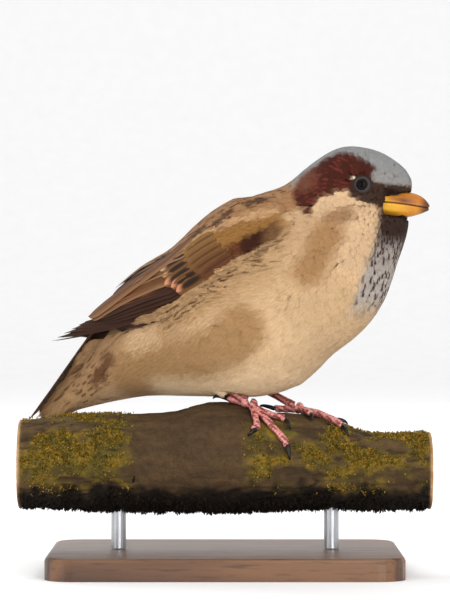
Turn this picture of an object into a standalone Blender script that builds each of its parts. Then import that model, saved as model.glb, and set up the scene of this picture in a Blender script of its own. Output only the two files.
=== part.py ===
"""A male house sparrow crouched on a short length of branch, over a plain display stand.

The solids are in metres, +Z up, with the origin under the middle of the stand's base. The branch lies along X.
The bird is built in a frame of its own, x to its front, y to its left, z up from the top of the branch, and an
empty turns that frame and sets it on the branch. Sizes in the tables are millimetres.
"""

import math

import bmesh
import bpy
from mathutils import Euler, Matrix, Vector

MM = 0.001
GAP = 0.3  # left between pieces that meet

# Stand and branch
BASE_SIZE = (112.0, 78.0, 7.0)
BASE_CORNER = 9.0
BASE_EDGE = 1.2
ROD_RADIUS = 2.4
ROD_PLACES = (-34.0, 34.0)
ROD_SOCKET = 3.0
PERCH_LENGTH = 132.0
PERCH_TOP = 54.6
PERCH_RINGS = 27
PERCH_SIDES = 22
# along X from the middle, height of the upper side, height of the lower side
PERCH_PROFILE = (
    (-66.0, 48.4, 19.4), (-46.0, 50.4, 18.8), (-28.0, 50.6, 18.6), (-16.0, 51.2, 18.4), (-6.0, 54.3, 18.2),
    (4.0, 53.8, 18.2), (14.0, 50.9, 18.4), (24.0, 50.3, 18.8), (36.0, 47.3, 19.0), (48.0, 44.2, 19.2),
    (66.0, 44.6, 19.4),
)

# Where the bird stands
BIRD_PLACE = (7.75, 0.0, PERCH_TOP)
BIRD_YAW = math.radians(-22.0)
HEAD_TURN = math.radians(7.0)
HEAD_PIVOT = (24.0, 0.0)

# Body sections from the face to the tail's root. Each is the flat slice through one point on the back and one
# on the underside: (back x, z), (underside x, z), half width, where it is widest from below (0 to 1),
# fullness of the upper and lower halves (2 is an ellipse), and how much it turns with the head (0 to 1).
BODY = (
    ((54.0, 69.4), (52.8, 57.6), 2.0, 0.50, 2.0, 2.0, 1.0),
    ((51.9, 73.1), (52.6, 55.0), 4.3, 0.52, 2.0, 2.0, 1.0),
    ((47.9, 76.4), (51.8, 51.2), 6.7, 0.56, 2.1, 2.0, 1.0),
    ((43.2, 79.0), (50.4, 47.0), 8.6, 0.58, 2.2, 2.0, 1.0),
    ((37.4, 80.5), (49.0, 43.2), 10.1, 0.58, 2.3, 2.0, 1.0),
    ((31.5, 80.6), (47.9, 39.6), 11.7, 0.56, 2.3, 2.0, 0.95),
    ((25.7, 78.1), (46.8, 36.0), 13.4, 0.54, 2.2, 2.0, 0.65),
    ((19.6, 73.8), (45.4, 32.4), 15.4, 0.50, 2.1, 2.0, 0.3),
    ((13.0, 68.8), (43.2, 28.6), 17.6, 0.48, 2.0, 2.0, 0.0),
    ((5.0, 66.5), (39.6, 23.8), 19.8, 0.47, 2.0, 2.0, 0.0),
    ((-3.8, 63.5), (33.6, 18.6), 21.9, 0.47, 1.9, 2.1, 0.0),
    ((-11.2, 59.4), (26.4, 13.6), 23.2, 0.46, 1.9, 2.1, 0.0),
    ((-18.2, 53.8), (16.4, 4.6), 23.6, 0.45, 1.9, 2.2, 0.0),
    ((-25.2, 47.6), (3.6, 1.0), 22.6, 0.45, 1.9, 2.2, 0.0),
    ((-32.2, 40.8), (-10.0, 0.8), 20.0, 0.45, 1.9, 2.1, 0.0),
    ((-39.4, 33.8), (-23.6, 0.9), 16.2, 0.45, 1.9, 2.0, 0.0),
    ((-45.6, 27.4), (-35.4, 0.8), 12.4, 0.46, 2.0, 2.0, 0.0),
    ((-50.2, 22.2), (-45.4, -0.8), 9.0, 0.48, 2.0, 2.0, 0.0),
    ((-54.4, 16.4), (-53.4, -2.4), 6.0, 0.50, 2.0, 2.0, 0.0),
    ((-58.6, 10.2), (-60.0, -4.0), 4.0, 0.50, 2.0, 2.0, 0.0),
    ((-63.0, 5.0), (-65.4, -6.2), 3.2, 0.50, 2.0, 2.0, 0.0),
    ((-67.4, -0.6), (-69.6, -7.8), 2.3, 0.50, 2.0, 2.0, 0.0),
    ((-71.2, -5.4), (-72.6, -9.0), 1.4, 0.50, 2.0, 2.0, 0.0),
)
BODY_RINGS_EACH = 2
BODY_SIDES = 28
HEAD_ENDS_AT = 6
NECK_ENDS_AT = 9
# the face draws in beside the bill: share, where it begins and is full along x, its height and half spread
FACE_HOLLOW = (0.4, 42.0, 49.0, 62.6, 6.0)

# The two folded wings make one long hull over the back. These sections continue the body's shoulder sections,
# swelled by the wing's thickness, back to the wing tips, in the same terms as BODY.
WING_OUT = 1.7
WING_THICK = 2.0
WING_BODY_SECTIONS = (7, 14)
WING_REAR = (
    ((-35.6, 44.0), (-22.0, 12.0), 19.6, 0.42, 1.9, 2.0, 0.0),
    ((-44.2, 37.6), (-35.0, 15.0), 15.2, 0.42, 1.9, 2.0, 0.0),
    ((-51.6, 31.2), (-46.4, 16.6), 10.8, 0.44, 1.9, 2.0, 0.0),
    ((-58.2, 25.2), (-55.6, 17.2), 7.0, 0.46, 2.0, 2.0, 0.0),
    ((-63.8, 21.9), (-63.0, 17.4), 4.4, 0.50, 2.0, 2.0, 0.0),
    ((-68.6, 19.6), (-68.4, 17.8), 2.2, 0.50, 2.0, 2.0, 0.0),
)
WING_SOLID_SECTIONS = 2  # at the tip, where the wing is not hollow
# The wing's edge from the side: along the top to the tip, and back along the lower edge.
WING_TOP = ((17.0, 63.0), (6.0, 65.0), (-8.0, 64.5), (-20.0, 62.0), (-40.0, 52.0), (-60.0, 32.0), (-72.0, 20.4))
WING_LOWER = (
    (-72.0, 17.9), (-58.8, 20.6), (-47.1, 22.6), (-36.8, 24.0), (-28.0, 25.2), (-20.9, 27.0), (-9.2, 33.4),
    (-2.5, 39.0), (6.0, 43.4), (13.0, 47.4), (20.0, 52.4), (22.4, 57.6),
)
WING_SPLIT = ((-22.0, 62.0), (-11.0, 30.0))  # coverts in front, flight feathers behind

# Bill: along its own line from the root, height of the ridge and of the lower edge over the gape line, half width
BILL_ROOT = (43.6, 63.7)
BILL_DROOP = math.radians(10.3)
BILL = (
    (0.0, 2.6, -3.9, 4.3), (2.6, 3.1, -4.2, 4.5), (5.4, 3.5, -4.2, 4.3), (8.0, 3.75, -4.0, 3.9), (10.5, 3.7, -3.5, 3.2),
    (12.8, 3.1, -2.5, 2.4), (14.6, 2.0, -1.5, 1.5), (15.8, 0.8, -0.7, 0.7),
)
BILL_LENGTH = BILL[-1][0]
BILL_GAPE_SAG = 0.8  # how far the gape line curves down at the root

EYE_RADIUS = 2.6
EYE_PLACE = (39.9, 67.9)  # x, z in the head before it turns
EYE_SPREAD = 8.5  # from the middle to the eye's centre

# Tail: a shallow roof of feathers, from its root in the rump to its end
TAIL_ROOT = (-48.5, 27.1)
TAIL_END = (-76.2, -7.3)
TAIL = (  # share of the length, half width, thickness, drop of its edges
    (0.0, 4.0, 3.2, 0.6), (0.25, 4.9, 3.0, 0.9), (0.5, 5.8, 2.6, 1.1), (0.75, 6.8, 2.1, 1.2), (0.94, 7.6, 1.6, 1.1),
    (1.0, 7.2, 1.2, 1.0),
)

# Legs. The knee that shows is in the bird's frame. A joint is (x along the branch, millimetres round it from the
# top towards the viewer of its near side). A toe is (heading from +X towards the near side, length, radius at
# the root, heading of its claw, claw length).
TARSUS_RADIUS = (1.15, 0.95, 1.2)
FOOT_PAD = 1.7
TOE_STEPS = 5
CLAW_RADIUS = 0.62
LEGS = {
    "right": {
        "knee": (-10.0, -8.5, 6.5),
        "joint": (8.6, 5.5),
        "toes": {
            "hind": (192.0, 7.6, 1.05, 196.0, 5.6),
            "inner": (18.0, 10.6, 0.95, 66.0, 4.4),
            "middle": (50.0, 17.0, 1.05, 80.0, 5.0),
            "outer": (80.0, 9.8, 0.95, 128.0, 4.2),
        },
    },
    "left": {
        "knee": (-2.0, 9.0, 5.0),
        "joint": (23.6, -3.4),
        "toes": {
            "hind": (176.0, 7.4, 1.05, 176.0, 5.6),
            "inner": (60.0, 7.8, 0.95, 88.0, 4.2),
            "middle": (34.0, 16.2, 1.05, 66.0, 5.0),
            "outer": (-2.0, 11.6, 0.95, 6.0, 4.4),
        },
    },
}

COLOURS = {  # base colour, roughness, metallic
    "grey_crown": ((0.30, 0.29, 0.28), 0.85, 0.0),
    "chestnut": ((0.17, 0.06, 0.04), 0.85, 0.0),
    "buff": ((0.68, 0.48, 0.28), 0.9, 0.0),
    "wing_brown": ((0.22, 0.12, 0.06), 0.8, 0.0),
    "flight_brown": ((0.06, 0.04, 0.03), 0.7, 0.0),
    "tail_brown": ((0.20, 0.12, 0.07), 0.75, 0.0),
    "bill_yellow": ((0.72, 0.42, 0.06), 0.35, 0.0),
    "eye_black": ((0.006, 0.005, 0.005), 0.05, 0.0),
    "leg_pink": ((0.48, 0.22, 0.18), 0.5, 0.0),
    "claw_black": ((0.02, 0.015, 0.012), 0.3, 0.0),
    "bark": ((0.12, 0.08, 0.045), 0.95, 0.0),
    "base_wood": ((0.05, 0.03, 0.02), 0.4, 0.0),
    "rod_steel": ((0.55, 0.54, 0.52), 0.3, 1.0),
}


# ---------------------------------------------------------------- scene, collections and materials

for stale in list(bpy.data.objects):
    bpy.data.objects.remove(stale)


def collection(name, hidden=False):
    made = bpy.data.collections.new(name)
    made.hide_render = hidden
    bpy.context.scene.collection.children.link(made)
    return made


SPARROW = collection("house_sparrow")
CUTTERS = collection("cutters", hidden=True)


def material(name):
    found = bpy.data.materials.get(name)
    if found:
        return found
    colour, roughness, metallic = COLOURS[name]
    found = bpy.data.materials.new(name)
    found.use_nodes = True
    shader = found.node_tree.nodes["Principled BSDF"]
    shader.inputs["Base Color"].default_value = (*colour, 1.0)
    shader.inputs["Roughness"].default_value = roughness
    shader.inputs["Metallic"].default_value = metallic
    return found


BIRD = bpy.data.objects.new("bird_frame", None)
BIRD.location = Vector(BIRD_PLACE) * MM
BIRD.rotation_euler = Euler((0.0, 0.0, BIRD_YAW))
SPARROW.objects.link(BIRD)
BIRD_MATRIX = Matrix.Translation(Vector(BIRD_PLACE)) @ Matrix.Rotation(BIRD_YAW, 4, "Z")


def add_object(name, mesh, colour=None, cutter=False, on_bird=True):
    """Puts a mesh in the scene as a part or as a cutter."""
    made = bpy.data.objects.new(name, mesh)
    if cutter:
        CUTTERS.objects.link(made)
        made.hide_render = True
        made.display_type = "WIRE"
    else:
        SPARROW.objects.link(made)
        made.data.materials.append(material(colour))
    if on_bird:
        made.parent = BIRD
    return made


# ---------------------------------------------------------------- shapes shared by the parts


def mesh_of_rings(name, rings):
    """A closed mesh through rings of points, in millimetres, with flat ends."""
    shape = bmesh.new()
    loops = [[shape.verts.new(Vector(point) * MM) for point in ring] for ring in rings]
    sides = len(loops[0])
    for near, far in zip(loops, loops[1:]):
        for i in range(sides):
            j = (i + 1) % sides
            shape.faces.new((near[i], near[j], far[j], far[i]))
    shape.faces.new(reversed(loops[0]))
    shape.faces.new(loops[-1])
    bmesh.ops.recalc_face_normals(shape, faces=shape.faces)
    mesh = bpy.data.meshes.new(name)
    shape.to_mesh(mesh)
    shape.free()
    mesh.shade_smooth()
    mesh.set_sharp_from_angle(angle=math.radians(50.0))
    return mesh


def smooth_row(rows, position):
    """The row at a fractional position in a table, read from a smooth curve through its rows."""
    i = min(int(position), len(rows) - 2)
    share = position - i
    before, start = rows[max(i - 1, 0)], rows[i]
    end, after = rows[i + 1], rows[min(i + 2, len(rows) - 1)]

    def curve(p, q, r, s):
        if isinstance(q, tuple):
            return tuple(curve(*four) for four in zip(p, q, r, s))
        slope_in, slope_out = (r - p) / 2, (s - q) / 2
        a = 2 * q - 2 * r + slope_in + slope_out
        b = -3 * q + 3 * r - 2 * slope_in - slope_out
        return ((a * share + b) * share + slope_in) * share + q

    return tuple(curve(*four) for four in zip(before, start, end, after))


def turned(point, share):
    """A point turned with the head about the neck's upright axis."""
    pivot = Vector((*HEAD_PIVOT, 0.0))
    return Matrix.Rotation(HEAD_TURN * share, 3, "Z") @ (Vector(point) - pivot) + pivot


def section_ring(section, swell, sides):
    """The outline of one body section, grown outwards by swell."""
    (back_x, back_z), (under_x, under_z), half_width, widest, upper, lower, turn = section
    back, under = Vector((back_x, 0.0, back_z)), Vector((under_x, 0.0, under_z))
    height = (back - under).length
    up = (back - under).normalized()
    centre = under.lerp(back, widest)
    points = []
    for i in range(sides):
        angle = 2 * math.pi * i / sides
        side, rise = math.cos(angle), math.sin(angle)
        fullness = upper if rise > 0 else lower
        reach = (1 - widest if rise > 0 else widest) * height + swell
        across = (half_width + swell) * math.copysign(abs(side) ** (2 / fullness), side)
        along = reach * math.copysign(abs(rise) ** (2 / fullness), rise)
        point = centre + up * along
        point.y = across * (1 - face_hollow(point))
        points.append(turned(point, turn))
    return points


def face_hollow(point):
    share, begins, full, height, spread = FACE_HOLLOW
    ahead = min(max((point.x - begins) / (full - begins), 0.0), 1.0)
    return share * ahead * math.exp(-(((point.z - height) / spread) ** 2))


def body_loft(name, sections, swell, rings_each=BODY_RINGS_EACH):
    count = (len(sections) - 1) * rings_each
    rows = [smooth_row(sections, i / rings_each) for i in range(count + 1)]
    return mesh_of_rings(name, [section_ring(row, swell, BODY_SIDES) for row in rows])


def cut(target, cutter, operation="DIFFERENCE"):
    step = target.modifiers.new(f"{operation.lower()}_{cutter.name}", "BOOLEAN")
    step.operation = operation
    step.object = cutter
    return step


def section_plane(section):
    """A point of a section's plane, and the plane's normal, which points to the head."""
    (back_x, back_z), (under_x, under_z) = section[:2]
    up = Vector((back_x - under_x, 0.0, back_z - under_z)).normalized()
    return Vector((under_x, 0.0, under_z)), Vector((up.z, 0.0, -up.x))


def keep_side(mesh, point, normal, gap=GAP / 2):
    """Cuts a closed mesh by a plane and keeps what lies ahead of it, closed again."""
    shape = bmesh.new()
    shape.from_mesh(mesh)
    found = bmesh.ops.bisect_plane(
        shape,
        geom=[*shape.verts, *shape.edges, *shape.faces],
        dist=1e-9,
        plane_co=(point + normal * gap) * MM,
        plane_no=normal,
        clear_inner=True,
    )
    rim = [item for item in found["geom_cut"] if isinstance(item, bmesh.types.BMEdge)]
    bmesh.ops.holes_fill(shape, edges=rim, sides=0)
    bmesh.ops.recalc_face_normals(shape, faces=shape.faces)
    shape.to_mesh(mesh)
    shape.free()
    return mesh


def solid_curve(name, points, radii, colour=None, cutter=False, on_bird=True, sides=3):
    """A round tapering tube through points, made a closed mesh."""
    data = bpy.data.curves.new(name + "_line", "CURVE")
    data.dimensions = "3D"
    data.bevel_depth = MM
    data.bevel_resolution = sides
    data.use_fill_caps = True
    spline = data.splines.new("POLY")
    spline.points.add(len(points) - 1)
    for control, point, radius in zip(spline.points, points, radii):
        control.co = (*(Vector(point) * MM), 1.0)
        control.radius = radius
    guide = bpy.data.objects.new(name + "_line", data)
    CUTTERS.objects.link(guide)
    graph = bpy.context.evaluated_depsgraph_get()
    mesh = bpy.data.meshes.new_from_object(guide.evaluated_get(graph))
    bpy.data.objects.remove(guide)
    shape = bmesh.new()
    shape.from_mesh(mesh)
    bmesh.ops.remove_doubles(shape, verts=shape.verts, dist=1e-7)
    bmesh.ops.recalc_face_normals(shape, faces=shape.faces)
    shape.to_mesh(mesh)
    shape.free()
    mesh.name = name
    mesh.shade_smooth()
    mesh.set_sharp_from_angle(angle=math.radians(50.0))
    return add_object(name, mesh, colour, cutter, on_bird)


# ---------------------------------------------------------------- stand and branch


def perch_row(x):
    """Centre height and radius of the branch at x."""
    i = 0
    while i < len(PERCH_PROFILE) - 2 and x > PERCH_PROFILE[i + 1][0]:
        i += 1
    share = (x - PERCH_PROFILE[i][0]) / (PERCH_PROFILE[i + 1][0] - PERCH_PROFILE[i][0])
    _, top, bottom = smooth_row(PERCH_PROFILE, i + min(max(share, 0.0), 1.0))
    return (top + bottom) / 2, (top - bottom) / 2


def perch_point(x, angle, lift=0.0):
    """A point on the branch. The angle runs from its top towards -Y."""
    centre, radius = perch_row(x)
    swelling = 0.25 * math.sin(3 * angle + x / 11.0) + 0.2 * math.sin(5 * angle - x / 7.0)
    swelling *= math.sin(angle / 2) ** 2  # none along the top, where the bird stands
    reach = radius + swelling + lift
    return Vector((x, -reach * math.sin(angle), centre + reach * math.cos(angle)))


def make_perch():
    rings = []
    for i in range(PERCH_RINGS):
        x = PERCH_LENGTH * (i / (PERCH_RINGS - 1) - 0.5)
        rings.append([perch_point(x, 2 * math.pi * j / PERCH_SIDES) for j in range(PERCH_SIDES)])
    perch = add_object("perch_branch", mesh_of_rings("perch_branch", rings), "bark", on_bird=False)
    for x in ROD_PLACES:
        cut(perch, rod(f"rod_socket_{x:.0f}", x, ROD_RADIUS + GAP, GAP, cutter=True))
    return perch


def rod(name, x, radius, above=0.0, cutter=False):
    """An upright round rod from the base into the underside of the branch."""
    foot = BASE_SIZE[2] + GAP - above
    centre, reach = perch_row(x)
    head = centre - reach + ROD_SOCKET + above
    shape = bmesh.new()
    bmesh.ops.create_cone(
        shape, cap_ends=True, segments=20, radius1=radius * MM, radius2=radius * MM, depth=(head - foot) * MM
    )
    mesh = bpy.data.meshes.new(name)
    shape.to_mesh(mesh)
    shape.free()
    made = add_object(name, mesh, "rod_steel", cutter, on_bird=False)
    made.location = Vector((x, 0.0, (foot + head) / 2)) * MM
    return made


def make_base():
    shape = bmesh.new()
    bmesh.ops.create_cube(shape, size=1.0)
    bmesh.ops.scale(shape, vec=Vector(BASE_SIZE) * MM, verts=shape.verts)
    bmesh.ops.translate(shape, vec=(0.0, 0.0, BASE_SIZE[2] / 2 * MM), verts=shape.verts)
    upright = [e for e in shape.edges if abs(e.verts[0].co.z - e.verts[1].co.z) > MM]
    bmesh.ops.bevel(shape, geom=upright, offset=BASE_CORNER * MM, segments=6, profile=0.5, affect="EDGES")
    upper = [e for e in shape.edges if min(v.co.z for v in e.verts) > (BASE_SIZE[2] - 0.01) * MM]
    bmesh.ops.bevel(shape, geom=upper, offset=BASE_EDGE * MM, segments=2, profile=0.5, affect="EDGES")
    mesh = bpy.data.meshes.new("stand_base")
    shape.to_mesh(mesh)
    shape.free()
    return add_object("stand_base", mesh, "base_wood", on_bird=False)


# ---------------------------------------------------------------- head, neck and trunk


def make_body():
    head_point, head_normal = section_plane(BODY[HEAD_ENDS_AT])
    neck_point, neck_normal = section_plane(BODY[NECK_ENDS_AT])
    head = keep_side(body_loft("head", BODY, 0.0), head_point, head_normal)
    neck = keep_side(body_loft("neck", BODY, 0.0), neck_point, neck_normal)
    keep_side(neck, head_point, -head_normal)
    trunk = keep_side(body_loft("trunk", BODY, 0.0), neck_point, -neck_normal)
    return (
        add_object("head", head, "grey_crown"),
        add_object("neck", neck, "chestnut"),
        add_object("trunk", trunk, "buff"),
    )


def eyeball(name, side, radius, cutter=False):
    shape = bmesh.new()
    bmesh.ops.create_uvsphere(shape, u_segments=14, v_segments=10, radius=radius * MM)
    mesh = bpy.data.meshes.new(name)
    shape.to_mesh(mesh)
    shape.free()
    mesh.shade_smooth()
    made = add_object(name, mesh, "eye_black", cutter)
    made.location = turned((EYE_PLACE[0], side * EYE_SPREAD, EYE_PLACE[1]), 1.0) * MM
    return made


def bill_ring(row, upper, swell, sides=7):
    """Half of the bill's outline, above or below the gape line, at one row of BILL."""
    along, ridge, keel, half_width = row
    sag = -BILL_GAPE_SAG * (1 - min(along / BILL_LENGTH, 1.0)) ** 2
    height = ridge if upper else keel
    seam = (GAP / 2 if upper else -GAP / 2) - (swell if upper else -swell)
    points = []
    for i in range(sides):
        angle = math.pi * i / (sides - 1)
        across = math.cos(angle) * (half_width + swell)
        reach = height + math.copysign(swell, height)
        rise = seam + math.sin(angle) ** 0.85 * (reach - seam)
        points.append(Vector((along, across, rise + sag)))
    return points


def bill_half(name, upper, swell=0.0, cutter=False):
    place = Matrix.Translation(Vector((BILL_ROOT[0], 0.0, BILL_ROOT[1]))) @ Matrix.Rotation(BILL_DROOP, 4, "Y")
    rings = []
    count = (len(BILL) - 1) * 2
    for i in range(count + 1):
        ring = bill_ring(smooth_row(BILL, i / 2), upper, swell)
        rings.append([turned(place @ point, 1.0) for point in ring])
    if swell:
        rings[0] = [point - (rings[1][0] - rings[0][0]).normalized() * swell for point in rings[0]]
    return add_object(name, mesh_of_rings(name, rings), "bill_yellow", cutter)


# ---------------------------------------------------------------- tail


def tail_mesh(name, swell=0.0):
    root, end = Vector((TAIL_ROOT[0], 0.0, TAIL_ROOT[1])), Vector((TAIL_END[0], 0.0, TAIL_END[1]))
    along = (end - root).normalized()
    upwards = Vector((along.z, 0.0, -along.x))
    rings = []
    for i in range((len(TAIL) - 1) * 2 + 1):
        share, half_width, thick, drop = smooth_row(TAIL, i / 2)
        middle = root.lerp(end, share)
        across = [-1.0, -0.66, -0.33, 0.0, 0.33, 0.66, 1.0]
        top = [(y, -drop * y * y) for y in across]
        under = [(y, -drop * y * y - thick * (1 - 0.45 * y * y)) for y in reversed(across)]
        ring = []
        for y, z in top:
            ring.append(middle + Vector((0.0, y * (half_width + swell), 0.0)) + upwards * (z + swell))
        for y, z in under:
            ring.append(middle + Vector((0.0, y * (half_width + swell), 0.0)) + upwards * (z - swell))
        rings.append(ring)
    if swell:
        rings[0] = [point - along * swell for point in rings[0]]
    return mesh_of_rings(name, rings)


# ---------------------------------------------------------------- wings


def wing_sections():
    first, last = WING_BODY_SECTIONS
    swelled = []
    for row in BODY[first:last]:
        (back_x, back_z), (under_x, under_z), half_width, *rest = row
        up = Vector((back_x - under_x, back_z - under_z)).normalized() * WING_OUT
        back = (back_x + up.x, back_z + up.y)
        under = (under_x - up.x, under_z - up.y)
        swelled.append((back, under, half_width + WING_OUT, *rest[:-1], 0.0))
    return (*swelled, *WING_REAR)


def side_prism(name, outline, near=0.15, far=45.0):
    """The space over one side view outline, from near to far on the bird's left."""
    data = bpy.data.curves.new(name, "CURVE")
    data.dimensions = "2D"
    data.fill_mode = "BOTH"
    data.extrude = (far - near) / 2 * MM
    spline = data.splines.new("POLY")
    spline.points.add(len(outline) - 1)
    for control, (x, z) in zip(spline.points, outline):
        control.co = (x * MM, z * MM, 0.0, 1.0)
    spline.use_cyclic_u = True
    guide = bpy.data.objects.new(name + "_line", data)
    CUTTERS.objects.link(guide)
    graph = bpy.context.evaluated_depsgraph_get()
    mesh = bpy.data.meshes.new_from_object(guide.evaluated_get(graph))
    bpy.data.objects.remove(guide)
    upright = Matrix.Rotation(math.pi / 2, 4, "X")
    mesh.transform(Matrix.Translation((0.0, (far + near) / 2 * MM, 0.0)) @ upright)
    shape = bmesh.new()
    shape.from_mesh(mesh)
    bmesh.ops.remove_doubles(shape, verts=shape.verts, dist=1e-7)
    bmesh.ops.recalc_face_normals(shape, faces=shape.faces)
    shape.to_mesh(mesh)
    shape.free()
    mesh.name = name
    return add_object(name, mesh, cutter=True)


def smooth_line(points, each=3):
    return [smooth_row(points, i / each) for i in range((len(points) - 1) * each + 1)]


def wing_outlines():
    """The side view outlines of the coverts and of the flight feathers, a gap apart."""
    outline = [*WING_TOP, *smooth_line(WING_LOWER)]
    top, bottom = (Vector(point) for point in WING_SPLIT)
    along = (bottom - top).normalized()
    ahead = Vector((-along.y, along.x))  # towards the head
    halves = []
    for side in (1.0, -1.0):
        start = top + ahead * side * GAP / 2
        kept = []
        for a, b in zip(outline, [*outline[1:], outline[0]]):
            a, b = Vector(a), Vector(b)
            depth_a, depth_b = (a - start).dot(ahead) * side, (b - start).dot(ahead) * side
            if depth_a >= 0:
                kept.append(tuple(a))
            if depth_a * depth_b < 0:
                kept.append(tuple(a.lerp(b, depth_a / (depth_a - depth_b))))
        halves.append(kept)
    return halves


def make_wings():
    outer = add_object("wing_outer", body_loft("wing_outer", wing_sections(), 0.0), cutter=True)
    hollow = body_loft("wing_inner", wing_sections()[:-WING_SOLID_SECTIONS], -WING_THICK)
    inner = add_object("wing_inner", hollow, cutter=True)
    clear_of_body = add_object("wing_clearance", body_loft("wing_clearance", BODY, GAP), cutter=True)
    for part, outline, colour in zip(("coverts", "flight"), wing_outlines(), ("wing_brown", "flight_brown")):
        blank = side_prism(f"wing_{part}_outline", outline)
        cut(blank, outer, "INTERSECT")
        cut(blank, inner)
        cut(blank, clear_of_body)
        graph = bpy.context.evaluated_depsgraph_get()
        left = bpy.data.meshes.new_from_object(blank.evaluated_get(graph))
        bpy.data.objects.remove(blank)
        left.materials.clear()
        right = left.copy()
        right.transform(Matrix.Scale(-1.0, 4, (0.0, 1.0, 0.0)))
        right.flip_normals()
        for side, mesh in (("left", left), ("right", right)):
            mesh.shade_smooth()
            mesh.set_sharp_from_angle(angle=math.radians(50.0))
            add_object(f"wing_{side}_{part}", mesh, colour)


# ---------------------------------------------------------------- legs


def on_perch(x, along, lift):
    """A point over the branch's surface, along millimetres round it from the top."""
    _, radius = perch_row(x)
    return perch_point(x, along / radius, lift)


def toe_path(joint, heading, start, length, lift, steps=TOE_STEPS):
    """Points over the branch from start to start + length along one heading."""
    turn = math.radians(heading)
    points = []
    for i in range(steps + 1):
        reach = start + length * i / steps
        x, along = joint[0] + reach * math.cos(turn), joint[1] + reach * math.sin(turn)
        points.append(on_perch(x, along, lift))
    return points


def toe_swell(radius, grown=0.0):
    return [radius * share + grown for share in (1.0, 1.0, 0.88, 1.02, 0.84, 0.96, 0.82)]


def ball(name, centre, radius, colour=None, cutter=False):
    shape = bmesh.new()
    bmesh.ops.create_uvsphere(shape, u_segments=12, v_segments=8, radius=radius * MM)
    bmesh.ops.translate(shape, vec=centre * MM, verts=shape.verts)
    mesh = bpy.data.meshes.new(name)
    shape.to_mesh(mesh)
    shape.free()
    mesh.shade_smooth()
    return add_object(name, mesh, colour, cutter, on_bird=False)


def make_leg(side, leg, trunk):
    """The bare lower leg, the foot with its toes, and the claws. The belly is cut clear of them all."""
    joint = leg["joint"]
    ankle = on_perch(*joint, FOOT_PAD + GAP)
    knee = BIRD_MATRIX @ Vector(leg["knee"])
    line = [ankle.lerp(knee, share) for share in (0.0, 0.15, 0.5, 0.85, 1.0)]
    radii = [TARSUS_RADIUS[0] * 1.1, TARSUS_RADIUS[0], TARSUS_RADIUS[1], TARSUS_RADIUS[2], TARSUS_RADIUS[2] * 1.2]
    start = ankle + (knee - ankle).normalized() * (FOOT_PAD + GAP)
    solid_curve(f"leg_{side}_tarsus", [start, *line[1:]], radii, "leg_pink", on_bird=False)
    wide = [radius + GAP for radius in radii]
    beyond = knee + (knee - ankle).normalized() * GAP
    socket = solid_curve(f"leg_{side}_socket", [*line, beyond], [*wide, wide[-1]], cutter=True, on_bird=False)
    cut(trunk, socket)
    cut(trunk, ball(f"foot_{side}_room", ankle, FOOT_PAD + 2 * GAP, cutter=True))

    foot = ball(f"foot_{side}", ankle, FOOT_PAD, "leg_pink")
    for toe, (heading, length, radius, claw_heading, claw) in leg["toes"].items():
        path = [ankle, *toe_path(joint, heading, 1.6, length - 1.6, radius + GAP)]
        tube = solid_curve(f"toe_{side}_{toe}", path, toe_swell(radius), cutter=True, on_bird=False, sides=2)
        cut(foot, tube, "UNION")
        room = solid_curve(
            f"toe_{side}_{toe}_room", path, toe_swell(radius, 2 * GAP), cutter=True, on_bird=False, sides=2
        )
        turn, bend = math.radians(heading), math.radians(abs(claw_heading - heading))
        end = (joint[0] + length * math.cos(turn), joint[1] + length * math.sin(turn))
        clear = (GAP + CLAW_RADIUS * math.sin(bend)) / math.cos(bend)
        claw_line, claw_radii = claw_path(end, claw_heading, clear, claw, radius)
        name = f"claw_{side}_{toe}"
        solid_curve(name, claw_line, claw_radii, "claw_black", on_bird=False, sides=1)
        if toe in ("hind", "outer"):
            cut(trunk, room)
            wide = [radius + 2 * GAP for radius in claw_radii]
            cut(trunk, solid_curve(f"{name}_room", claw_line, wide, cutter=True, on_bird=False, sides=2))
    cut(foot, socket)


def claw_path(end, heading, clear, length, toe_radius):
    """Points and radii of a curved claw that arches off the toe's end and comes down to the bark."""
    turn = math.radians(heading)
    steps = 6
    points, radii = [], []
    for i in range(steps + 1):
        share = i / steps
        reach = clear + length * math.sin(share * 1.35) * 0.88
        height = GAP + toe_radius + 0.8 * math.sin(share * math.pi * 0.72) - 1.05 * share**1.6
        points.append(on_perch(end[0] + reach * math.cos(turn), end[1] + reach * math.sin(turn), height))
        radii.append(CLAW_RADIUS * (1 - 0.92 * share**1.3))
    return points, radii


# ---------------------------------------------------------------- build


make_base()
for number, place in enumerate(ROD_PLACES, 1):
    rod(f"stand_rod_{number}", place, ROD_RADIUS)
make_perch()

head, neck, trunk = make_body()
for name, side in (("left", 1.0), ("right", -1.0)):
    eyeball(f"eye_{name}", side, EYE_RADIUS)
    cut(head, eyeball(f"eye_socket_{name}", side, EYE_RADIUS + GAP, cutter=True))
for name, upper in (("bill_upper", True), ("bill_lower", False)):
    bill_half(name, upper)
    cut(head, bill_half(f"{name}_socket", upper, GAP, cutter=True))

add_object("tail", tail_mesh("tail"), "tail_brown")
cut(trunk, add_object("tail_socket", tail_mesh("tail_socket", GAP), cutter=True))
make_wings()
for side, leg in LEGS.items():
    make_leg(side, leg, trunk)
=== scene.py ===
# %% [markdown]
# # A male house sparrow on a mossy branch
# This lesson dresses a solid model of a small bird, part by part, the way a museum model is finished. The
# solids already have the bird's true outline. Here they get skin, lids, a bill, scaled feet and, above all,
# feathers. The solids are loaded first, and nothing is moved after that: every new piece is laid where they
# are.

# %% Load the solids
import math

import bmesh
import bpy
import numpy as np
from mathutils import Matrix, Vector
from mathutils.bvhtree import BVHTree


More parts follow.
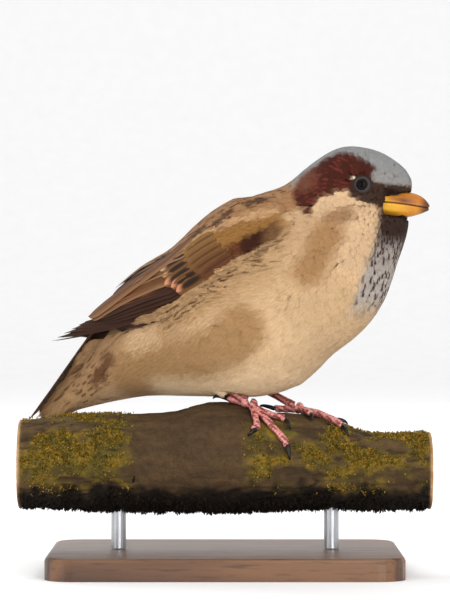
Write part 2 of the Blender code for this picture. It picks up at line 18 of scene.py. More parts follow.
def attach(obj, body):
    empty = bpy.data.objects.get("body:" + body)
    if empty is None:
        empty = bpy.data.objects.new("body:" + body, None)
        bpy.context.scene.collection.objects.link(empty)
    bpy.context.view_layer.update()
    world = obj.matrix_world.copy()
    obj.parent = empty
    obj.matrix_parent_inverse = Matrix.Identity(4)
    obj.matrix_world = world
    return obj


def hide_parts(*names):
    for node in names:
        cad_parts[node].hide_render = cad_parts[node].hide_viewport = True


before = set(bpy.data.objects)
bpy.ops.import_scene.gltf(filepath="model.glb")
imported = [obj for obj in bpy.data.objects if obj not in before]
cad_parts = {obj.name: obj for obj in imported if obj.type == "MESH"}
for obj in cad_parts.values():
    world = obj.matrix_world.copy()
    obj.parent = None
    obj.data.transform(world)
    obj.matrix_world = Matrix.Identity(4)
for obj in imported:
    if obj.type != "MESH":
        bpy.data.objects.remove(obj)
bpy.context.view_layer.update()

print("solids:", ", ".join(sorted(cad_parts)))

# %% [markdown]
# ## The bird's own frame
# The bird sits turned on its branch, and its head is turned a little more. Markings are far easier to
# describe on a bird that looks straight ahead, so two small functions go from the world to the bird's frame
# and back. That frame is in millimetres: x to the bird's front, y to its left and z up from just over the
# branch.

# %% Frames
MM = 0.001
BIRD_PLACE = np.array([7.75, 0.0, 54.6])
BIRD_YAW = math.radians(-22.0)
HEAD_TURN = math.radians(7.0)
HEAD_PIVOT = np.array([24.0, 0.0, 0.0])
EYE_PLACE = np.array([39.9, 8.5, 67.9])  # the left eye before the head turns
EYE_RADIUS = 2.6
BILL_ROOT = np.array([43.6, 0.0, 63.7])


def turn_about_z(points, angle):
    c, s = np.cos(angle), np.sin(angle)
    x, y, z = points[..., 0], points[..., 1], points[..., 2]
    return np.stack([x * c - y * s, x * s + y * c, z], axis=-1)


def to_bird(points):
    """World metres to the bird's millimetres."""
    return turn_about_z(np.asarray(points) / MM - BIRD_PLACE, -BIRD_YAW)


def to_world(points):
    return (turn_about_z(points, BIRD_YAW) + BIRD_PLACE) * MM


def ramp(value, low, high):
    """0 below low, 1 above high, and a smooth step between."""
    share = np.clip((value - low) / (high - low), 0.0, 1.0)
    return share * share * (3 - 2 * share)


def unit(vectors):
    """The same directions, each made one long."""
    return vectors / np.maximum(np.linalg.norm(vectors, axis=-1), 1e-9)[..., None]


def body_place(points):
    """How far forward along the line from tail root to bill a point lies, and how high over it."""
    x, z = points[..., 0], points[..., 2]
    return x * 0.86 + z * 0.50, z * 0.86 - x * 0.50


def head_share(points):
    """How much of the head's turn a point has: all of it on the face, none at the shoulder."""
    along = points[..., 0] * 0.80 + points[..., 2] * 0.60
    return ramp(along, 58.0, 74.0)


def face_ahead(points):
    """The same points with the head turned back to look straight ahead."""
    return turn_about_z(points - HEAD_PIVOT, -HEAD_TURN * head_share(points)) + HEAD_PIVOT


def head_turned(point):
    """A point given on the straight head, in its place on the turned one."""
    return turn_about_z(np.asarray(point, float) - HEAD_PIVOT, HEAD_TURN) + HEAD_PIVOT


eyes = {side: head_turned(EYE_PLACE * [1, sign, 1]) for side, sign in (("left", 1), ("right", -1))}
bill_root = head_turned(BILL_ROOT)
print("eyes at", {side: place.round(1).tolist() for side, place in eyes.items()})

# %% [markdown]
# ## Small tools
# Most pieces begin as a copy of their solid, which is then welded, remeshed and shaped with the same
# operators that the menus call. These helpers keep that short: one makes a single object active, one adds a
# modifier and applies it, and a few read a mesh's points as an array and write them back.

# %% Object helpers
def only(piece):
    """Makes one object the selected and active one."""
    if bpy.context.object and bpy.context.object.mode != "OBJECT":
        bpy.ops.object.mode_set(mode="OBJECT")
    bpy.ops.object.select_all(action="DESELECT")
    piece.select_set(True)
    bpy.context.view_layer.objects.active = piece
    return piece


def apply_modifier(piece, kind, **settings):
    only(piece)
    step = piece.modifiers.new(kind.lower(), kind)
    for key, value in settings.items():
        setattr(step, key, value)
    bpy.ops.object.modifier_apply(modifier=step.name)
    return piece


def face_outward(piece):
    only(piece)
    bpy.ops.object.mode_set(mode="EDIT")
    bpy.ops.mesh.select_all(action="SELECT")
    bpy.ops.mesh.normals_make_consistent(inside=False)
    bpy.ops.object.mode_set(mode="OBJECT")
    return piece


def weld(piece):
    """Joins the points of a solid that lie on each other."""
    only(piece)
    bpy.ops.object.mode_set(mode="EDIT")
    bpy.ops.mesh.select_all(action="SELECT")
    bpy.ops.mesh.remove_doubles(threshold=MM * 0.001)
    bpy.ops.object.mode_set(mode="OBJECT")
    return face_outward(piece)


def copy_of(node, name):
    """A welded copy of a solid, free to be shaped."""
    solid = bpy.data.objects[node]
    mesh = solid.data.copy()
    mesh.materials.clear()
    piece = bpy.data.objects.new(name, mesh)
    bpy.context.scene.collection.objects.link(piece)
    mesh.transform(solid.matrix_world)
    return weld(piece)


def joined(pieces, name):
    only(pieces[0])
    for piece in pieces[1:]:
        piece.select_set(True)
    bpy.ops.object.join()
    pieces[0].name = name
    pieces[0].data.name = name
    return pieces[0]


def vectors_of(items, key):
    """One row of three values for each item of a mesh."""
    flat = np.empty(len(items) * 3, np.float32)
    items.foreach_get(key, flat)
    return flat.reshape(-1, 3).astype(float)


def corners(mesh):
    """A mesh's points in the bird's frame."""
    return to_bird(vectors_of(mesh.vertices, "co"))


def set_corners(mesh, points):
    mesh.vertices.foreach_set("co", to_world(points).astype(np.float32).ravel())
    mesh.update()


def point_normals(mesh):
    return turn_about_z(vectors_of(mesh.vertex_normals, "vector"), -BIRD_YAW)


def paint(mesh, name, colours):
    """Stores one linear colour for each point of a mesh."""
    layer = mesh.color_attributes.new(name, "FLOAT_COLOR", "POINT")
    rgba = np.ones((len(mesh.vertices), 4), np.float32)
    rgba[:, :3] = np.clip(colours, 0.0, 1.0)
    layer.data.foreach_set("color", rgba.ravel())


def coloured(mesh, name, colours, finish):
    """Paints a mesh, smooths its shading and gives it a material that reads the paint."""
    paint(mesh, name, colours)
    mesh.shade_smooth()
    mesh.materials.append(finish)


def linear(red, green, blue):
    """A colour as painters' 0 to 255 values, made linear for the shader."""
    value = np.array([red, green, blue]) / 255
    return np.where(value <= 0.04045, value / 12.92, ((value + 0.055) / 1.055) ** 2.4)


print("helpers ready")

# %% [markdown]
# ## Floor, light and camera
# The model stands in a plain studio: one pale sheet that sweeps up behind it, soft lights from the upper
# right, from the left and from low in front, and a small one for the glint in the eye. One more behind lifts
# the edges of the feathers, and the last lights the sheet. The camera is level with the bird's body and looks
# square at the branch's near side with a long lens, so that nothing is stretched.

# %% Stage, lights and camera
SHEET_WIDTH = 6.0
SHEET_FRONT = -3.0
SHEET_BACK = 2.2
SHEET_TOP = 4.0
SWEEP_RADIUS = 0.9
SWEEP_STEPS = 16


def make_stage():
    profile = [(SHEET_FRONT, 0.0)]
    for i in range(SWEEP_STEPS + 1):
        angle = math.pi / 2 * i / SWEEP_STEPS
        profile.append((SHEET_BACK + SWEEP_RADIUS * math.sin(angle), SWEEP_RADIUS * (1 - math.cos(angle))))
    profile.append((SHEET_BACK + SWEEP_RADIUS, SHEET_TOP))
    shape = bmesh.new()
    rows = [[shape.verts.new((x, y, z)) for x in (-SHEET_WIDTH / 2, SHEET_WIDTH / 2)] for y, z in profile]
    for nearer, farther in zip(rows, rows[1:]):
        shape.faces.new((nearer[0], nearer[1], farther[1], farther[0]))
    mesh = bpy.data.meshes.new("studio_sheet")
    shape.to_mesh(mesh)
    shape.free()
    mesh.shade_smooth()
    sheet = bpy.data.objects.new("studio_sheet", mesh)
    bpy.context.scene.collection.objects.link(sheet)
    return sheet


def area_light(name, place, target, size, power, colour=(1.0, 1.0, 1.0)):
    data = bpy.data.lights.new(name, "AREA")
    data.shape = "DISK"
    data.size = size
    data.energy = power
    data.color = colour
    lamp = bpy.data.objects.new(name, data)
    bpy.context.scene.collection.objects.link(lamp)
    lamp.location = place
    lamp.rotation_euler = (Vector(target) - Vector(place)).to_track_quat("-Z", "Y").to_euler()
    return lamp


sheet = make_stage()
MIDDLE = (0.0, 0.0, 0.085)
area_light("key", (0.4, -0.85, 0.85), MIDDLE, 0.6, 1.6, (1.0, 0.99, 0.97))
area_light("fill", (-0.9, -0.8, 0.35), MIDDLE, 0.8, 2.6, (0.97, 0.98, 1.0))
area_light("low", (0.3, -0.9, 0.04), MIDDLE, 0.4, 2.5, (1.0, 0.99, 0.97))
area_light("glint", (0.25, -0.9, 0.5), MIDDLE, 0.06, 1.5)
area_light("edge", (-0.35, 0.8, 0.75), MIDDLE, 0.5, 3.5)
area_light("backdrop", (0.0, 0.5, 1.1), (0.0, 1.7, 0.2), 0.9, 4.0)

world = bpy.data.worlds.new("studio")
bpy.context.scene.world = world
world.use_nodes = True
world.node_tree.nodes["Background"].inputs["Color"].default_value = (1.0, 1.0, 1.0, 1.0)
world.node_tree.nodes["Background"].inputs["Strength"].default_value = 0.95

CAMERA_BACK = 0.95
CAMERA_HEIGHT = 0.0866
VIEW_TALL = 0.192  # height of what the camera sees at the branch
camera_data = bpy.data.cameras.new("camera")
camera = bpy.data.objects.new("camera", camera_data)
bpy.context.scene.collection.objects.link(camera)
camera.location = (0.0, -CAMERA_BACK, CAMERA_HEIGHT)
camera.rotation_euler = (math.pi / 2, 0.0, 0.0)
camera_data.sensor_width = 36.0
camera_data.lens = camera_data.sensor_width * CAMERA_BACK / VIEW_TALL
bpy.context.scene.camera = camera
bpy.context.scene.view_settings.view_transform = "Standard"
print("lens", round(camera_data.lens), "mm")

# %% [markdown]
# ## Materials
# Each finish is a Principled shader fed by a few procedural nodes. A short function adds a node, sets its
# values and links its inputs, and others add what most finishes share: a noise, a bump and an uneven gloss.
# So a material reads as a list of what feeds what.

# %% Node helpers
def new_material(name):
    made = bpy.data.materials.new(name)
    made.use_nodes = True
    shader = made.node_tree.nodes["Principled BSDF"]
    return made, made.node_tree, shader


def feed(tree, target, **inputs):
    """Sets a node's inputs or links sockets to them. Names have _ for a space, or are i and a number."""
    for key, value in inputs.items():
        socket = target.inputs[int(key[1:]) if key[1:].isdigit() else key.replace("_", " ")]
        if isinstance(value, bpy.types.NodeSocket):
            tree.links.new(value, socket)
        else:
            socket.default_value = value


def node(tree, kind, values=None, **inputs):
    made = tree.nodes.new(kind)
    for key, value in (values or {}).items():
        setattr(made, key, value)
    feed(tree, made, **inputs)
    return made


def maths(tree, operation, *values):
    """The result of a math node on values or sockets."""
    inputs = {f"i{index}": value for index, value in enumerate(values)}
    return node(tree, "ShaderNodeMath", {"operation": operation}, **inputs).outputs[0]


def own_place(tree, stretch=None):
    """Places in the object's own coordinates, stretched for a grain that runs one way."""
    place = node(tree, "ShaderNodeTexCoord").outputs["Object"]
    if stretch is None:
        return place
    return node(tree, "ShaderNodeMapping", Vector=place, Scale=stretch).outputs["Vector"]


def noise_value(tree, place, scale, detail, **more):
    return node(tree, "ShaderNodeTexNoise", Vector=place, Scale=scale, Detail=detail, **more).outputs["Fac"]


def add_bump(tree, shader, height, strength, distance):
    made = node(tree, "ShaderNodeBump", Strength=strength, Distance=distance, Height=height)
    feed(tree, shader, Normal=made.outputs["Normal"])


def add_uneven_gloss(tree, shader, value, low, high):
    """Lets the roughness run from low to high with a value."""
    made = node(tree, "ShaderNodeMapRange", Value=value, To_Min=low, To_Max=high)
    feed(tree, shader, Roughness=made.outputs["Result"])


def shades_of(tree, factor, stops):
    """A colour that runs through the stops, given as place and colour."""
    made = node(tree, "ShaderNodeValToRGB", Fac=factor)
    elements = made.color_ramp.elements
    while len(elements) < len(stops):
        elements.new(0.5)
    for element, (place, colour) in zip(elements, stops):
        element.position = place
        element.color = (*colour, 1.0)
    return made.outputs["Color"]


def grain_group():
    """Soft light and dark variation over a colour, at two scales, as feathers, skin and bark all have."""
    group = bpy.data.node_groups.new("tone_variation", "ShaderNodeTree")
    group.interface.new_socket("Color", in_out="INPUT", socket_type="NodeSocketColor")
    for label in ("Coarse", "Fine", "Amount"):
        group.interface.new_socket(label, in_out="INPUT", socket_type="NodeSocketFloat")
    group.interface.new_socket("Color", in_out="OUTPUT", socket_type="NodeSocketColor")
    given = group.nodes.new("NodeGroupInput").outputs
    place = own_place(group)
    coarse = noise_value(group, place, given["Coarse"], 3.0)
    fine = noise_value(group, place, given["Fine"], 2.0)
    centred = maths(group, "SUBTRACT", maths(group, "ADD", coarse, fine), 1.0)
    bright = maths(group, "ADD", maths(group, "MULTIPLY", centred, given["Amount"]), 1.0)
    tinted = node(group, "ShaderNodeHueSaturation", Value=bright, Color=given["Color"])
    feed(group, group.nodes.new("NodeGroupOutput"), Color=tinted.outputs["Color"])
    return group


TONE = grain_group()


def stored_colour(tree, name, coarse, fine, amount):
    """The colour stored on a mesh under a name, broken up by the grain at two scales."""
    stored = node(tree, "ShaderNodeAttribute", {"attribute_name": name}).outputs["Color"]
    grain = {"Color": stored, "Coarse": coarse, "Fine": fine, "Amount": amount}
    return node(tree, "ShaderNodeGroup", {"node_tree": TONE}, **grain).outputs["Color"]


print("node helpers ready")

# %% [markdown]
# ## Feather and skin finishes
# A feather's colour comes from its place on the bird, so it is stored on the mesh, point by point, in an
# attribute named plumage. The shader breaks it up with a little noise and adds the dull sheen of loose barbs.
# Flight feathers are tighter and glossier than down, so they get a smoother finish of their own, with fine
# barbs.

# %% Plumage materials
def feather_material(name, roughness, sheen, specular, amount):
    made, tree, shader = new_material(name)
    feed(tree, shader, Base_Color=stored_colour(tree, "plumage", 260.0, 2200.0, amount), Roughness=roughness)
    shader.inputs["Sheen Weight"].default_value = sheen
    shader.inputs["Sheen Roughness"].default_value = 0.5
    shader.inputs["Specular IOR Level"].default_value = specular
    return made


down = feather_material("down_feather", 0.9, 0.03, 0.1, 0.25)
vane = feather_material("vane_feather", 0.7, 0.02, 0.12, 0.25)
skin_finish = feather_material("bird_skin", 0.9, 0.0, 0.1, 0.3)

BARB_SLANT = -0.9
BARBS = 12.0  # radians of the wave for each millimetre along the shaft
BARB_CONTRAST = 0.12


def add_barb_lines(made):
    """Fine slanted lines on both sides of the shaft, from each vane's own place across and along it."""
    tree = made.node_tree
    shader = tree.nodes["Principled BSDF"]
    own = node(tree, "ShaderNodeAttribute", {"attribute_name": "vane"}).outputs["Vector"]
    across, along, _ = node(tree, "ShaderNodeSeparateXYZ", Vector=own).outputs
    slant = maths(tree, "MULTIPLY_ADD", maths(tree, "ABSOLUTE", across), BARB_SLANT, along)
    wave = maths(tree, "SINE", maths(tree, "MULTIPLY", slant, BARBS))
    bright = maths(tree, "MULTIPLY_ADD", wave, BARB_CONTRAST, 1.0)
    unlined = shader.inputs["Base Color"].links[0].from_socket
    lined = node(tree, "ShaderNodeHueSaturation", Value=bright, Color=unlined)
    feed(tree, shader, Base_Color=lined.outputs["Color"])


add_barb_lines(vane)
print("plumage finishes ready")

# %% [markdown]
# ## Markings
# One function gives the colour of the plumage at any place on the bird, so the skin and every feather over it
# agree. It lays soft-edged areas over each other, as a painter would: warm buff below, streaked brown above,
# grey crown, chestnut sides of the head, black mask and bib. A few areas are painted light and shade: a darker
# band down the side of the neck, a darker middle of the breast, a darker lower flank and a paler bottom near
# the tail.

# %% Colours of the plumage
BUFF = linear(198, 166, 128)
BUFF_PALE = linear(218, 189, 151)
FLANK = linear(190, 157, 121)
FLANK_DARK = linear(150, 115, 76)
UNDERTAIL = linear(142, 106, 70)
UNDERTAIL_DARK = linear(92, 58, 36)
FLANK_GAP_SHADE = linear(78, 50, 32)
NECK_SIDE = linear(206, 172, 132)
NECK_FOLD_SHADE = linear(148, 111, 73)
BREAST_SHADE = linear(172, 140, 102)
MANTLE = linear(150, 111, 75)
BRACE = linear(190, 152, 112)
COVERTS = linear(136, 96, 50)
SHOULDER = linear(50, 24, 14)
MANTLE_STROKE = linear(58, 36, 24)
WING_RED = linear(74, 35, 20)
RUMP = linear(140, 108, 76)
CROWN = linear(130, 130, 129)
CHESTNUT = linear(64, 29, 20)
CHESTNUT_LIGHT = linear(116, 76, 56)
MASK = linear(56, 40, 32)
LORAL = linear(133, 130, 127)
CHEEK = linear(188, 156, 122)
CHEEK_DARK = linear(132, 98, 66)
THROAT = linear(50, 36, 30)
BIB = linear(138, 132, 128)
WHITE = linear(226, 212, 190)


def near(points, centre, radius, soft):
    """1 within radius of a centre (in side view if it has two numbers) and 0 beyond radius + soft."""
    centre = np.asarray(centre, float)
    place = points[..., [0, 2]] if len(centre) == 2 else points
    away = np.linalg.norm(place - centre, axis=-1)
    return 1 - ramp(away, radius, radius + soft)


def away_from(points, route):
    """How far points are, in side view, from a line through the places of a route."""
    x, z = points[..., 0], points[..., 2]
    away = np.full(x.shape, 1e9)
    for (ax, az), (bx, bz) in zip(route[:-1], route[1:]):
        ex, ez = bx - ax, bz - az
        share = np.clip(((x - ax) * ex + (z - az) * ez) / (ex * ex + ez * ez), 0, 1)
        away = np.minimum(away, np.hypot(x - ax - share * ex, z - az - share * ez))
    return away


def inside(points, outline, soft):
    """1 inside a side view outline and 0 outside it, with a soft edge."""
    x, z = points[..., 0], points[..., 2]
    closed = (*outline, outline[0])
    within = np.zeros(x.shape, bool)
    for (ax, az), (bx, bz) in zip(closed[:-1], closed[1:]):
        crosses = (az > z) != (bz > z)
        within ^= crosses & (x < ax + (bx - ax) * (z - az) / (bz - az or 1e-9))
    away = away_from(points, closed)
    return ramp(np.where(within, away, -away), -soft, soft)


def stroke(points, route, radius, soft):
    """1 within radius of a side view line and 0 beyond radius + soft."""
    return 1 - ramp(away_from(points, route), radius, radius + soft)


def bib_front(x, y, z):
    """How far a place lies within the bib and the grey band that runs down from it."""
    edge = np.interp(z, (23.0, 35.0, 48.0, 59.0), (34.0, 40.5, 44.5, 46.0))
    high = ramp(z, 24.0, 34.0) * (1 - ramp(z, 57.5, 59.5))
    return ramp(x - edge, -1.5, 1.5) * (1 - ramp(y, 9.5, 13.0)) * high


# areas of the side view, in the bird's x and z
CHESTNUT_AREA = (
    (46.0, 70.8), (43.4, 73.8), (39.6, 76.6), (34.8, 78.4), (31.2, 78.4), (27.5, 76.8), (24.2, 74.0),
    (20.6, 70.6), (18.6, 66.5), (20.5, 62.5), (24.0, 59.0), (26.6, 58.0), (26.6, 62.0), (29.0, 64.6),
    (33.0, 66.2), (37.5, 66.0),
)
MASK_AREA = (
    (54.0, 67.8), (47.4, 68.4), (43.6, 69.0), (41.5, 71.0), (38.2, 71.0), (36.4, 68.5), (36.4, 64.8),
    (39.6, 62.9), (43.4, 61.6), (45.4, 60.4), (47.2, 58.4), (54.0, 58.4),
)
CROWN_AREA = (
    (17, 67), (17, 78), (24, 84), (60, 84), (60, 66), (45, 71), (38, 76.5), (30, 77.5), (22, 71.5),
)
COVERT_AREA = ((17, 59), (1, 56.5), (-9, 53), (-16, 47), (-6, 42), (8, 47), (21, 54))
CHEEK_AREA = ((20, 44), (44, 40), (50, 50), (47, 64), (30, 67), (22, 58))
MANTLE_STROKES = (((-7, 55.5), (-1, 60)), ((-15, 51.5), (-11, 55)), ((4, 62.6), (10, 63.6)))
LORAL_AREA = ((43.0, 72.6), (47.2, 72.8), (52.6, 69.8), (54.6, 67.8), (47.6, 68.0), (43.4, 69.0))


def plumage(points):
    """The colour of the plumage at points in the bird's frame."""
    p = face_ahead(points)
    x, y, z = p[..., 0], np.abs(p[..., 1]), p[..., 2]
    colour = np.empty((*x.shape, 3))

    def lay(area, tint):
        colour[:] = colour + (tint - colour) * area[..., None]

    colour[:] = BUFF
    along, above = body_place(p)
    on_side = ramp(y, 8.0, 11.0)
    lay(1 - ramp(along, -22.0, 6.0), FLANK)
    lay((1 - ramp(along, -40.0, -24.0)) * (1 - ramp(above, 12.0, 22.0)), UNDERTAIL)
    lay(ramp(above, 20.0, 30.0) * (1 - ramp(along, 30.0, 48.0)) * 0.75, FLANK_DARK)
    # painted shade: a darker band along the lower flank, under the curve of the body
    lay(stroke(p, ((6, 23), (0, 17), (-14, 12), (-36, 7)), 5.0, 6.0) * 0.95, FLANK_DARK)
    lay(stroke(p, ((-44.5, 13), (-51, 6)), 1.2, 2.4) * 0.9, UNDERTAIL_DARK)
    lay(stroke(p, ((-34, 18), (-27, 20)), 1.5, 4.0) * 0.6, BUFF)
    lay((1 - ramp(z, 4.0, 15.0)) * ramp(along, -2.0, 12.0) * 0.8, BUFF_PALE)
    # painted light: the bottom in front of the undertail is painted paler, against the shade that falls there
    lay((1 - ramp(z, 3.0, 10.0)) * ramp(x, -34.0, -24.0) * 0.95, BUFF_PALE)
    # painted shade: the middle of the breast is painted darker than the belly
    lay(stroke(p, ((16, 40), (32, 34)), 7.0, 9.0) * 0.45, BREAST_SHADE)
    lay(ramp(along, 48.0, 60.0), NECK_SIDE)
    lay(ramp(above, 39.0, 43.0) * (1 - ramp(along, 62.0, 68.0)), MANTLE)
    lay(ramp(above, 33.0, 40.0) * (1 - ramp(along, -16.0, -8.0)), RUMP)
    # the small coverts of the wing, the dark patch at its bend and the pale brace along the mantle's edge
    lay(inside(p, COVERT_AREA, 1.6) * on_side, COVERTS)
    lay(stroke(p, ((-13, 39), (-4, 43.5), (4, 47.5), (10, 50.5)), 1.3, 2.4) * on_side * 0.9, WING_RED)
    lay(stroke(p, ((8.5, 49.5), (15.5, 53)), 2.0, 2.2) * on_side * 0.95, SHOULDER)
    lay(stroke(p, ((-17, 49), (-8, 54), (1, 57.3), (15, 60)), 0.5, 1.2) * ramp(y, 6.0, 9.0) * 0.7, BRACE)
    for route in MANTLE_STROKES:
        lay(stroke(p, route, 0.6, 0.8) * ramp(y, 2.0, 4.0) * 0.85, MANTLE_STROKE)
    # the head, from its lower side up
    lay(inside(p, CHEEK_AREA, 2.5) * 0.8, CHEEK)
    lay(stroke(p, ((33, 57.5), (36, 58.5)), 1.0, 3.2) * 0.85, CHEEK_DARK)
    # painted shade: a darker band where the neck folds onto the side of the breast, in two strokes
    lay(stroke(p, ((18, 52), (26, 54)), 3.0, 4.0) * ramp(y, 4.0, 8.0) * 0.35, NECK_FOLD_SHADE)
    lay(stroke(p, ((32, 52), (29.5, 46), (27, 41)), 2.0, 5.5) * ramp(y, 4.0, 8.0) * 0.95, NECK_FOLD_SHADE)
    lay(inside(p, CROWN_AREA, 1.0), CROWN)
    lay(inside(p, CHESTNUT_AREA, 0.8) * ramp(y, 2.5, 4.5), CHESTNUT)
    lay(near(p, (23.0, 69.5), 1.5, 4.0) * ramp(y, 3.0, 5.0) * 0.6, CHESTNUT_LIGHT)
    lay(inside(p, LORAL_AREA, 0.5), LORAL)
    lay(inside(p, MASK_AREA, 0.45), MASK)
    lay(near(p, (37.1, 70.4), 0.35, 0.4) * ramp(y, 5.0, 6.0), WHITE)
    # the bib, a black throat that fades into grey-tipped feathers down the breast
    lay(bib_front(x, y, z) * 0.9, BIB * (1.3 - 0.3 * ramp(z, 36.0, 46.0))[..., None])
    throat = ramp(x, 43.5, 46.0) * (1 - ramp(y, 7.5, 10.0)) * ramp(z, 46.0, 53.0) * (1 - ramp(z, 59.5, 61.0))
    lay(throat, THROAT)
    return colour


print("plumage at the crown", plumage(np.array([[35.0, 0.0, 80.0]])).round(3).tolist())

# %% [markdown]
# ## The outer form and the skin
# The solids of head, neck, trunk and wings stand a hair's breadth apart. Feathers need one unbroken surface
# to lie along, so copies are swelled over the gap, joined and remeshed in small voxels, which welds them. A
# ball fills each eye socket and another the root of the bill, and the face is drawn in beside the bill. The
# result is never shown: it is the surface that the tips of the feathers must reach. The skin is made in the
# same way from the flesh alone, and sunk by the depth of the coat.

# %% Outer form
BILL_DROOP = math.radians(10.3)
BILL_STATIONS = (0.0, 2.6, 5.4, 8.0, 10.5)  # along the bill
BILL_HALF_WIDTHS = (4.3, 4.5, 4.3, 3.9, 3.2)
BILL_HEIGHT = 3.5  # over its gape line
BILL_DEPTH = 4.3  # under it
FACE_INSIDE = 0.7  # how far the face lies within the horn's sides
SWELL, SHRINK = 0.22, 0.20  # more than half of the gap between two solids, and most of it taken back
HEAD_MIDDLE = head_turned([39.0, 0.0, 66.5])
SOCKET_RADII = (3.1, 3.0, 3.1)
BILL_BALL, BILL_BALL_RADII = head_turned([42.6, 0.0, 63.9]), (4.2, 4.2, 4.6)
BEYOND_BIRD = 90.0  # a place to look at the bird's side from


def bill_frame(points):
    """Along the bill, to its side and over its gape line."""
    away = face_ahead(points) - BILL_ROOT
    c, s = math.cos(BILL_DROOP), math.sin(BILL_DROOP)
    x, y, z = away[..., 0], away[..., 1], away[..., 2]
    return np.stack([x * c - z * s, y, x * s + z * c], axis=-1)


def beside_bill(points):
    """How far a point lies in the notch of the face that the bill's base fills."""
    placed = bill_frame(points)
    along, over = placed[..., 0], placed[..., 2]
    return ramp(along, 1.8, 3.0) * ramp(over, -4.7, -4.1) * (1 - ramp(over, 2.9, 3.5))


def pressed_in(points):
    """Draws the face in beside the bill, so that the horn shows to its base."""
    placed = bill_frame(points)
    half = np.interp(placed[..., 0], BILL_STATIONS, BILL_HALF_WIDTHS)
    over = placed[..., 2]
    share = np.clip(1 - (over / np.where(over > 0, BILL_HEIGHT, BILL_DEPTH)) ** 2, 0, 1)
    limit = np.maximum(half * np.sqrt(share) - FACE_INSIDE, 0.0)
    side = np.abs(placed[..., 1])
    excess = np.maximum(side - limit, 0.0) * beside_bill(points) * np.sign(placed[..., 1])
    return points - excess[..., None] * head_side


head_side = head_turned([0.0, 1.0, 0.0]) - head_turned([0.0, 0.0, 0.0])


def ball(name, place, radii):
    bpy.ops.object.select_all(action="DESELECT")
    bpy.ops.mesh.primitive_uv_sphere_add(segments=32, ring_count=20, radius=1.0)
    piece = bpy.context.object
    piece.name = name
    turned = Matrix.Rotation(BIRD_YAW + HEAD_TURN, 4, "Z")
    scaled = Matrix.Diagonal((*[r * MM for r in radii], 1.0))
    piece.data.transform(Matrix.Translation(to_world(np.asarray(place, float))) @ turned @ scaled)
    return piece


def moulded(name, nodes, voxel, rounds):
    """Copies of the solids as one closed smooth surface."""
    copies = [copy_of(label, f"{name}_{label}") for label in nodes]
    for piece in copies:
        apply_modifier(piece, "DISPLACE", strength=SWELL * MM, mid_level=0.0)
    for side, place in eyes.items():
        copies.append(ball(f"{name}_socket_{side}", place + (HEAD_MIDDLE - place) * 0.10, SOCKET_RADII))
    copies.append(ball(f"{name}_bill_root", BILL_BALL, BILL_BALL_RADII))
    whole = joined(copies, name)
    apply_modifier(whole, "REMESH", mode="VOXEL", voxel_size=voxel * MM)
    apply_modifier(whole, "SMOOTH", factor=0.5, iterations=rounds)
    apply_modifier(whole, "DISPLACE", strength=-SHRINK * MM, mid_level=0.0)
    set_corners(whole.data, pressed_in(corners(whole.data)))
    return whole


FLESH = ("head", "neck", "trunk")
WING_NODES = ("wing_left_coverts", "wing_left_flight", "wing_right_coverts", "wing_right_flight")


class Surface:
    """A surface in the bird's frame that points can be put on."""

    def __init__(self, piece):
        mesh = piece.data
        self.points = corners(mesh)
        self.normals = point_normals(mesh)
        self.faces = [tuple(face.vertices) for face in mesh.polygons]
        self.tree = BVHTree.FromPolygons([tuple(p) for p in self.points], self.faces)

    def put(self, points):
        """The nearest points of the surface, and the smooth normals there."""
        places = np.empty_like(points)
        normals = np.empty_like(points)
        for i, point in enumerate(points):
            place, _, face, _ = self.tree.find_nearest(Vector(point))
            places[i] = place
            normals[i] = self.normals[list(self.faces[face])].mean(axis=0)
        return places, unit(normals)

    def seen_from_side(self, x, z, sign):
        """The point at this x and z on the bird's left (sign 1) or right (-1) side."""
        hit = self.tree.ray_cast(Vector((x, sign * BEYOND_BIRD, z)), Vector((0.0, -sign, 0.0)))[0]
        if hit is None or hit.y * sign < 0.0:
            hit = self.tree.find_nearest(Vector((x, sign * 1.5, z)))[0]
        return np.array(hit)


form_piece = moulded("outer_form", (*FLESH, *WING_NODES, "tail"), 0.6, 8)
form = Surface(form_piece)
bpy.data.objects.remove(form_piece)
print("outer form:", len(form.points), "points, top", form.points[:, 2].max().round(2), "mm")

# %% [markdown]
# The coat is thinnest on the face and deepest on the body. Rows of values, for the same distances from the
# bill, give the depth of the coat here, and later how far apart feathers are rooted and how long and wide
# they are. The skin sinks by that depth. The eyelids are part of the skin: around each eye the mesh is
# subdivided and its points are set to a rounded rim that closes on the eyeball, with the opening a little
# smaller than the eye.

# %% Skin with lids
DISTANCES = (3.0, 8.0, 15.0, 28.0, 50.0, 100.0)  # from the bill's root
DEPTHS = (0.35, 0.6, 0.95, 1.5, 2.0, 2.0)
# the lid's shape, as distance from the eye's axis and height over the eye's middle
LID_PROFILE = ((0.0, 2.2), (1.55, 1.72), (1.72, 1.66), (1.84, 1.98), (2.04, 2.04), (2.32, 1.78), (2.75, 1.32))
LID_EDGE = 2.75
LID_BLEND = 3.6
LID_LEVEL, LID_REACH = 1.2, 3.5  # only points this near that height belong to a lid


def from_bill(points):
    return np.linalg.norm(points - bill_root, axis=-1)


eye_axes = {}
for side, place in eyes.items():
    _, eye_normal = form.put(place[None, :])
    outward = np.array([0.0, 1.0 if side == "left" else -1.0, 0.0])
    eye_axes[side] = unit(outward * 0.6 + eye_normal[0] * 0.4)


def about_eye(points, side):
    """Distance from an eye's axis, and height along it above the eye's middle."""
    away = points - eyes[side]
    height = away @ eye_axes[side]
    across = np.linalg.norm(away - height[..., None] * eye_axes[side], axis=-1)
    return across, height


def near_lid(points, side, reach):
    across, height = about_eye(points, side)
    return (across < reach) & (np.abs(height - LID_LEVEL) < LID_REACH)


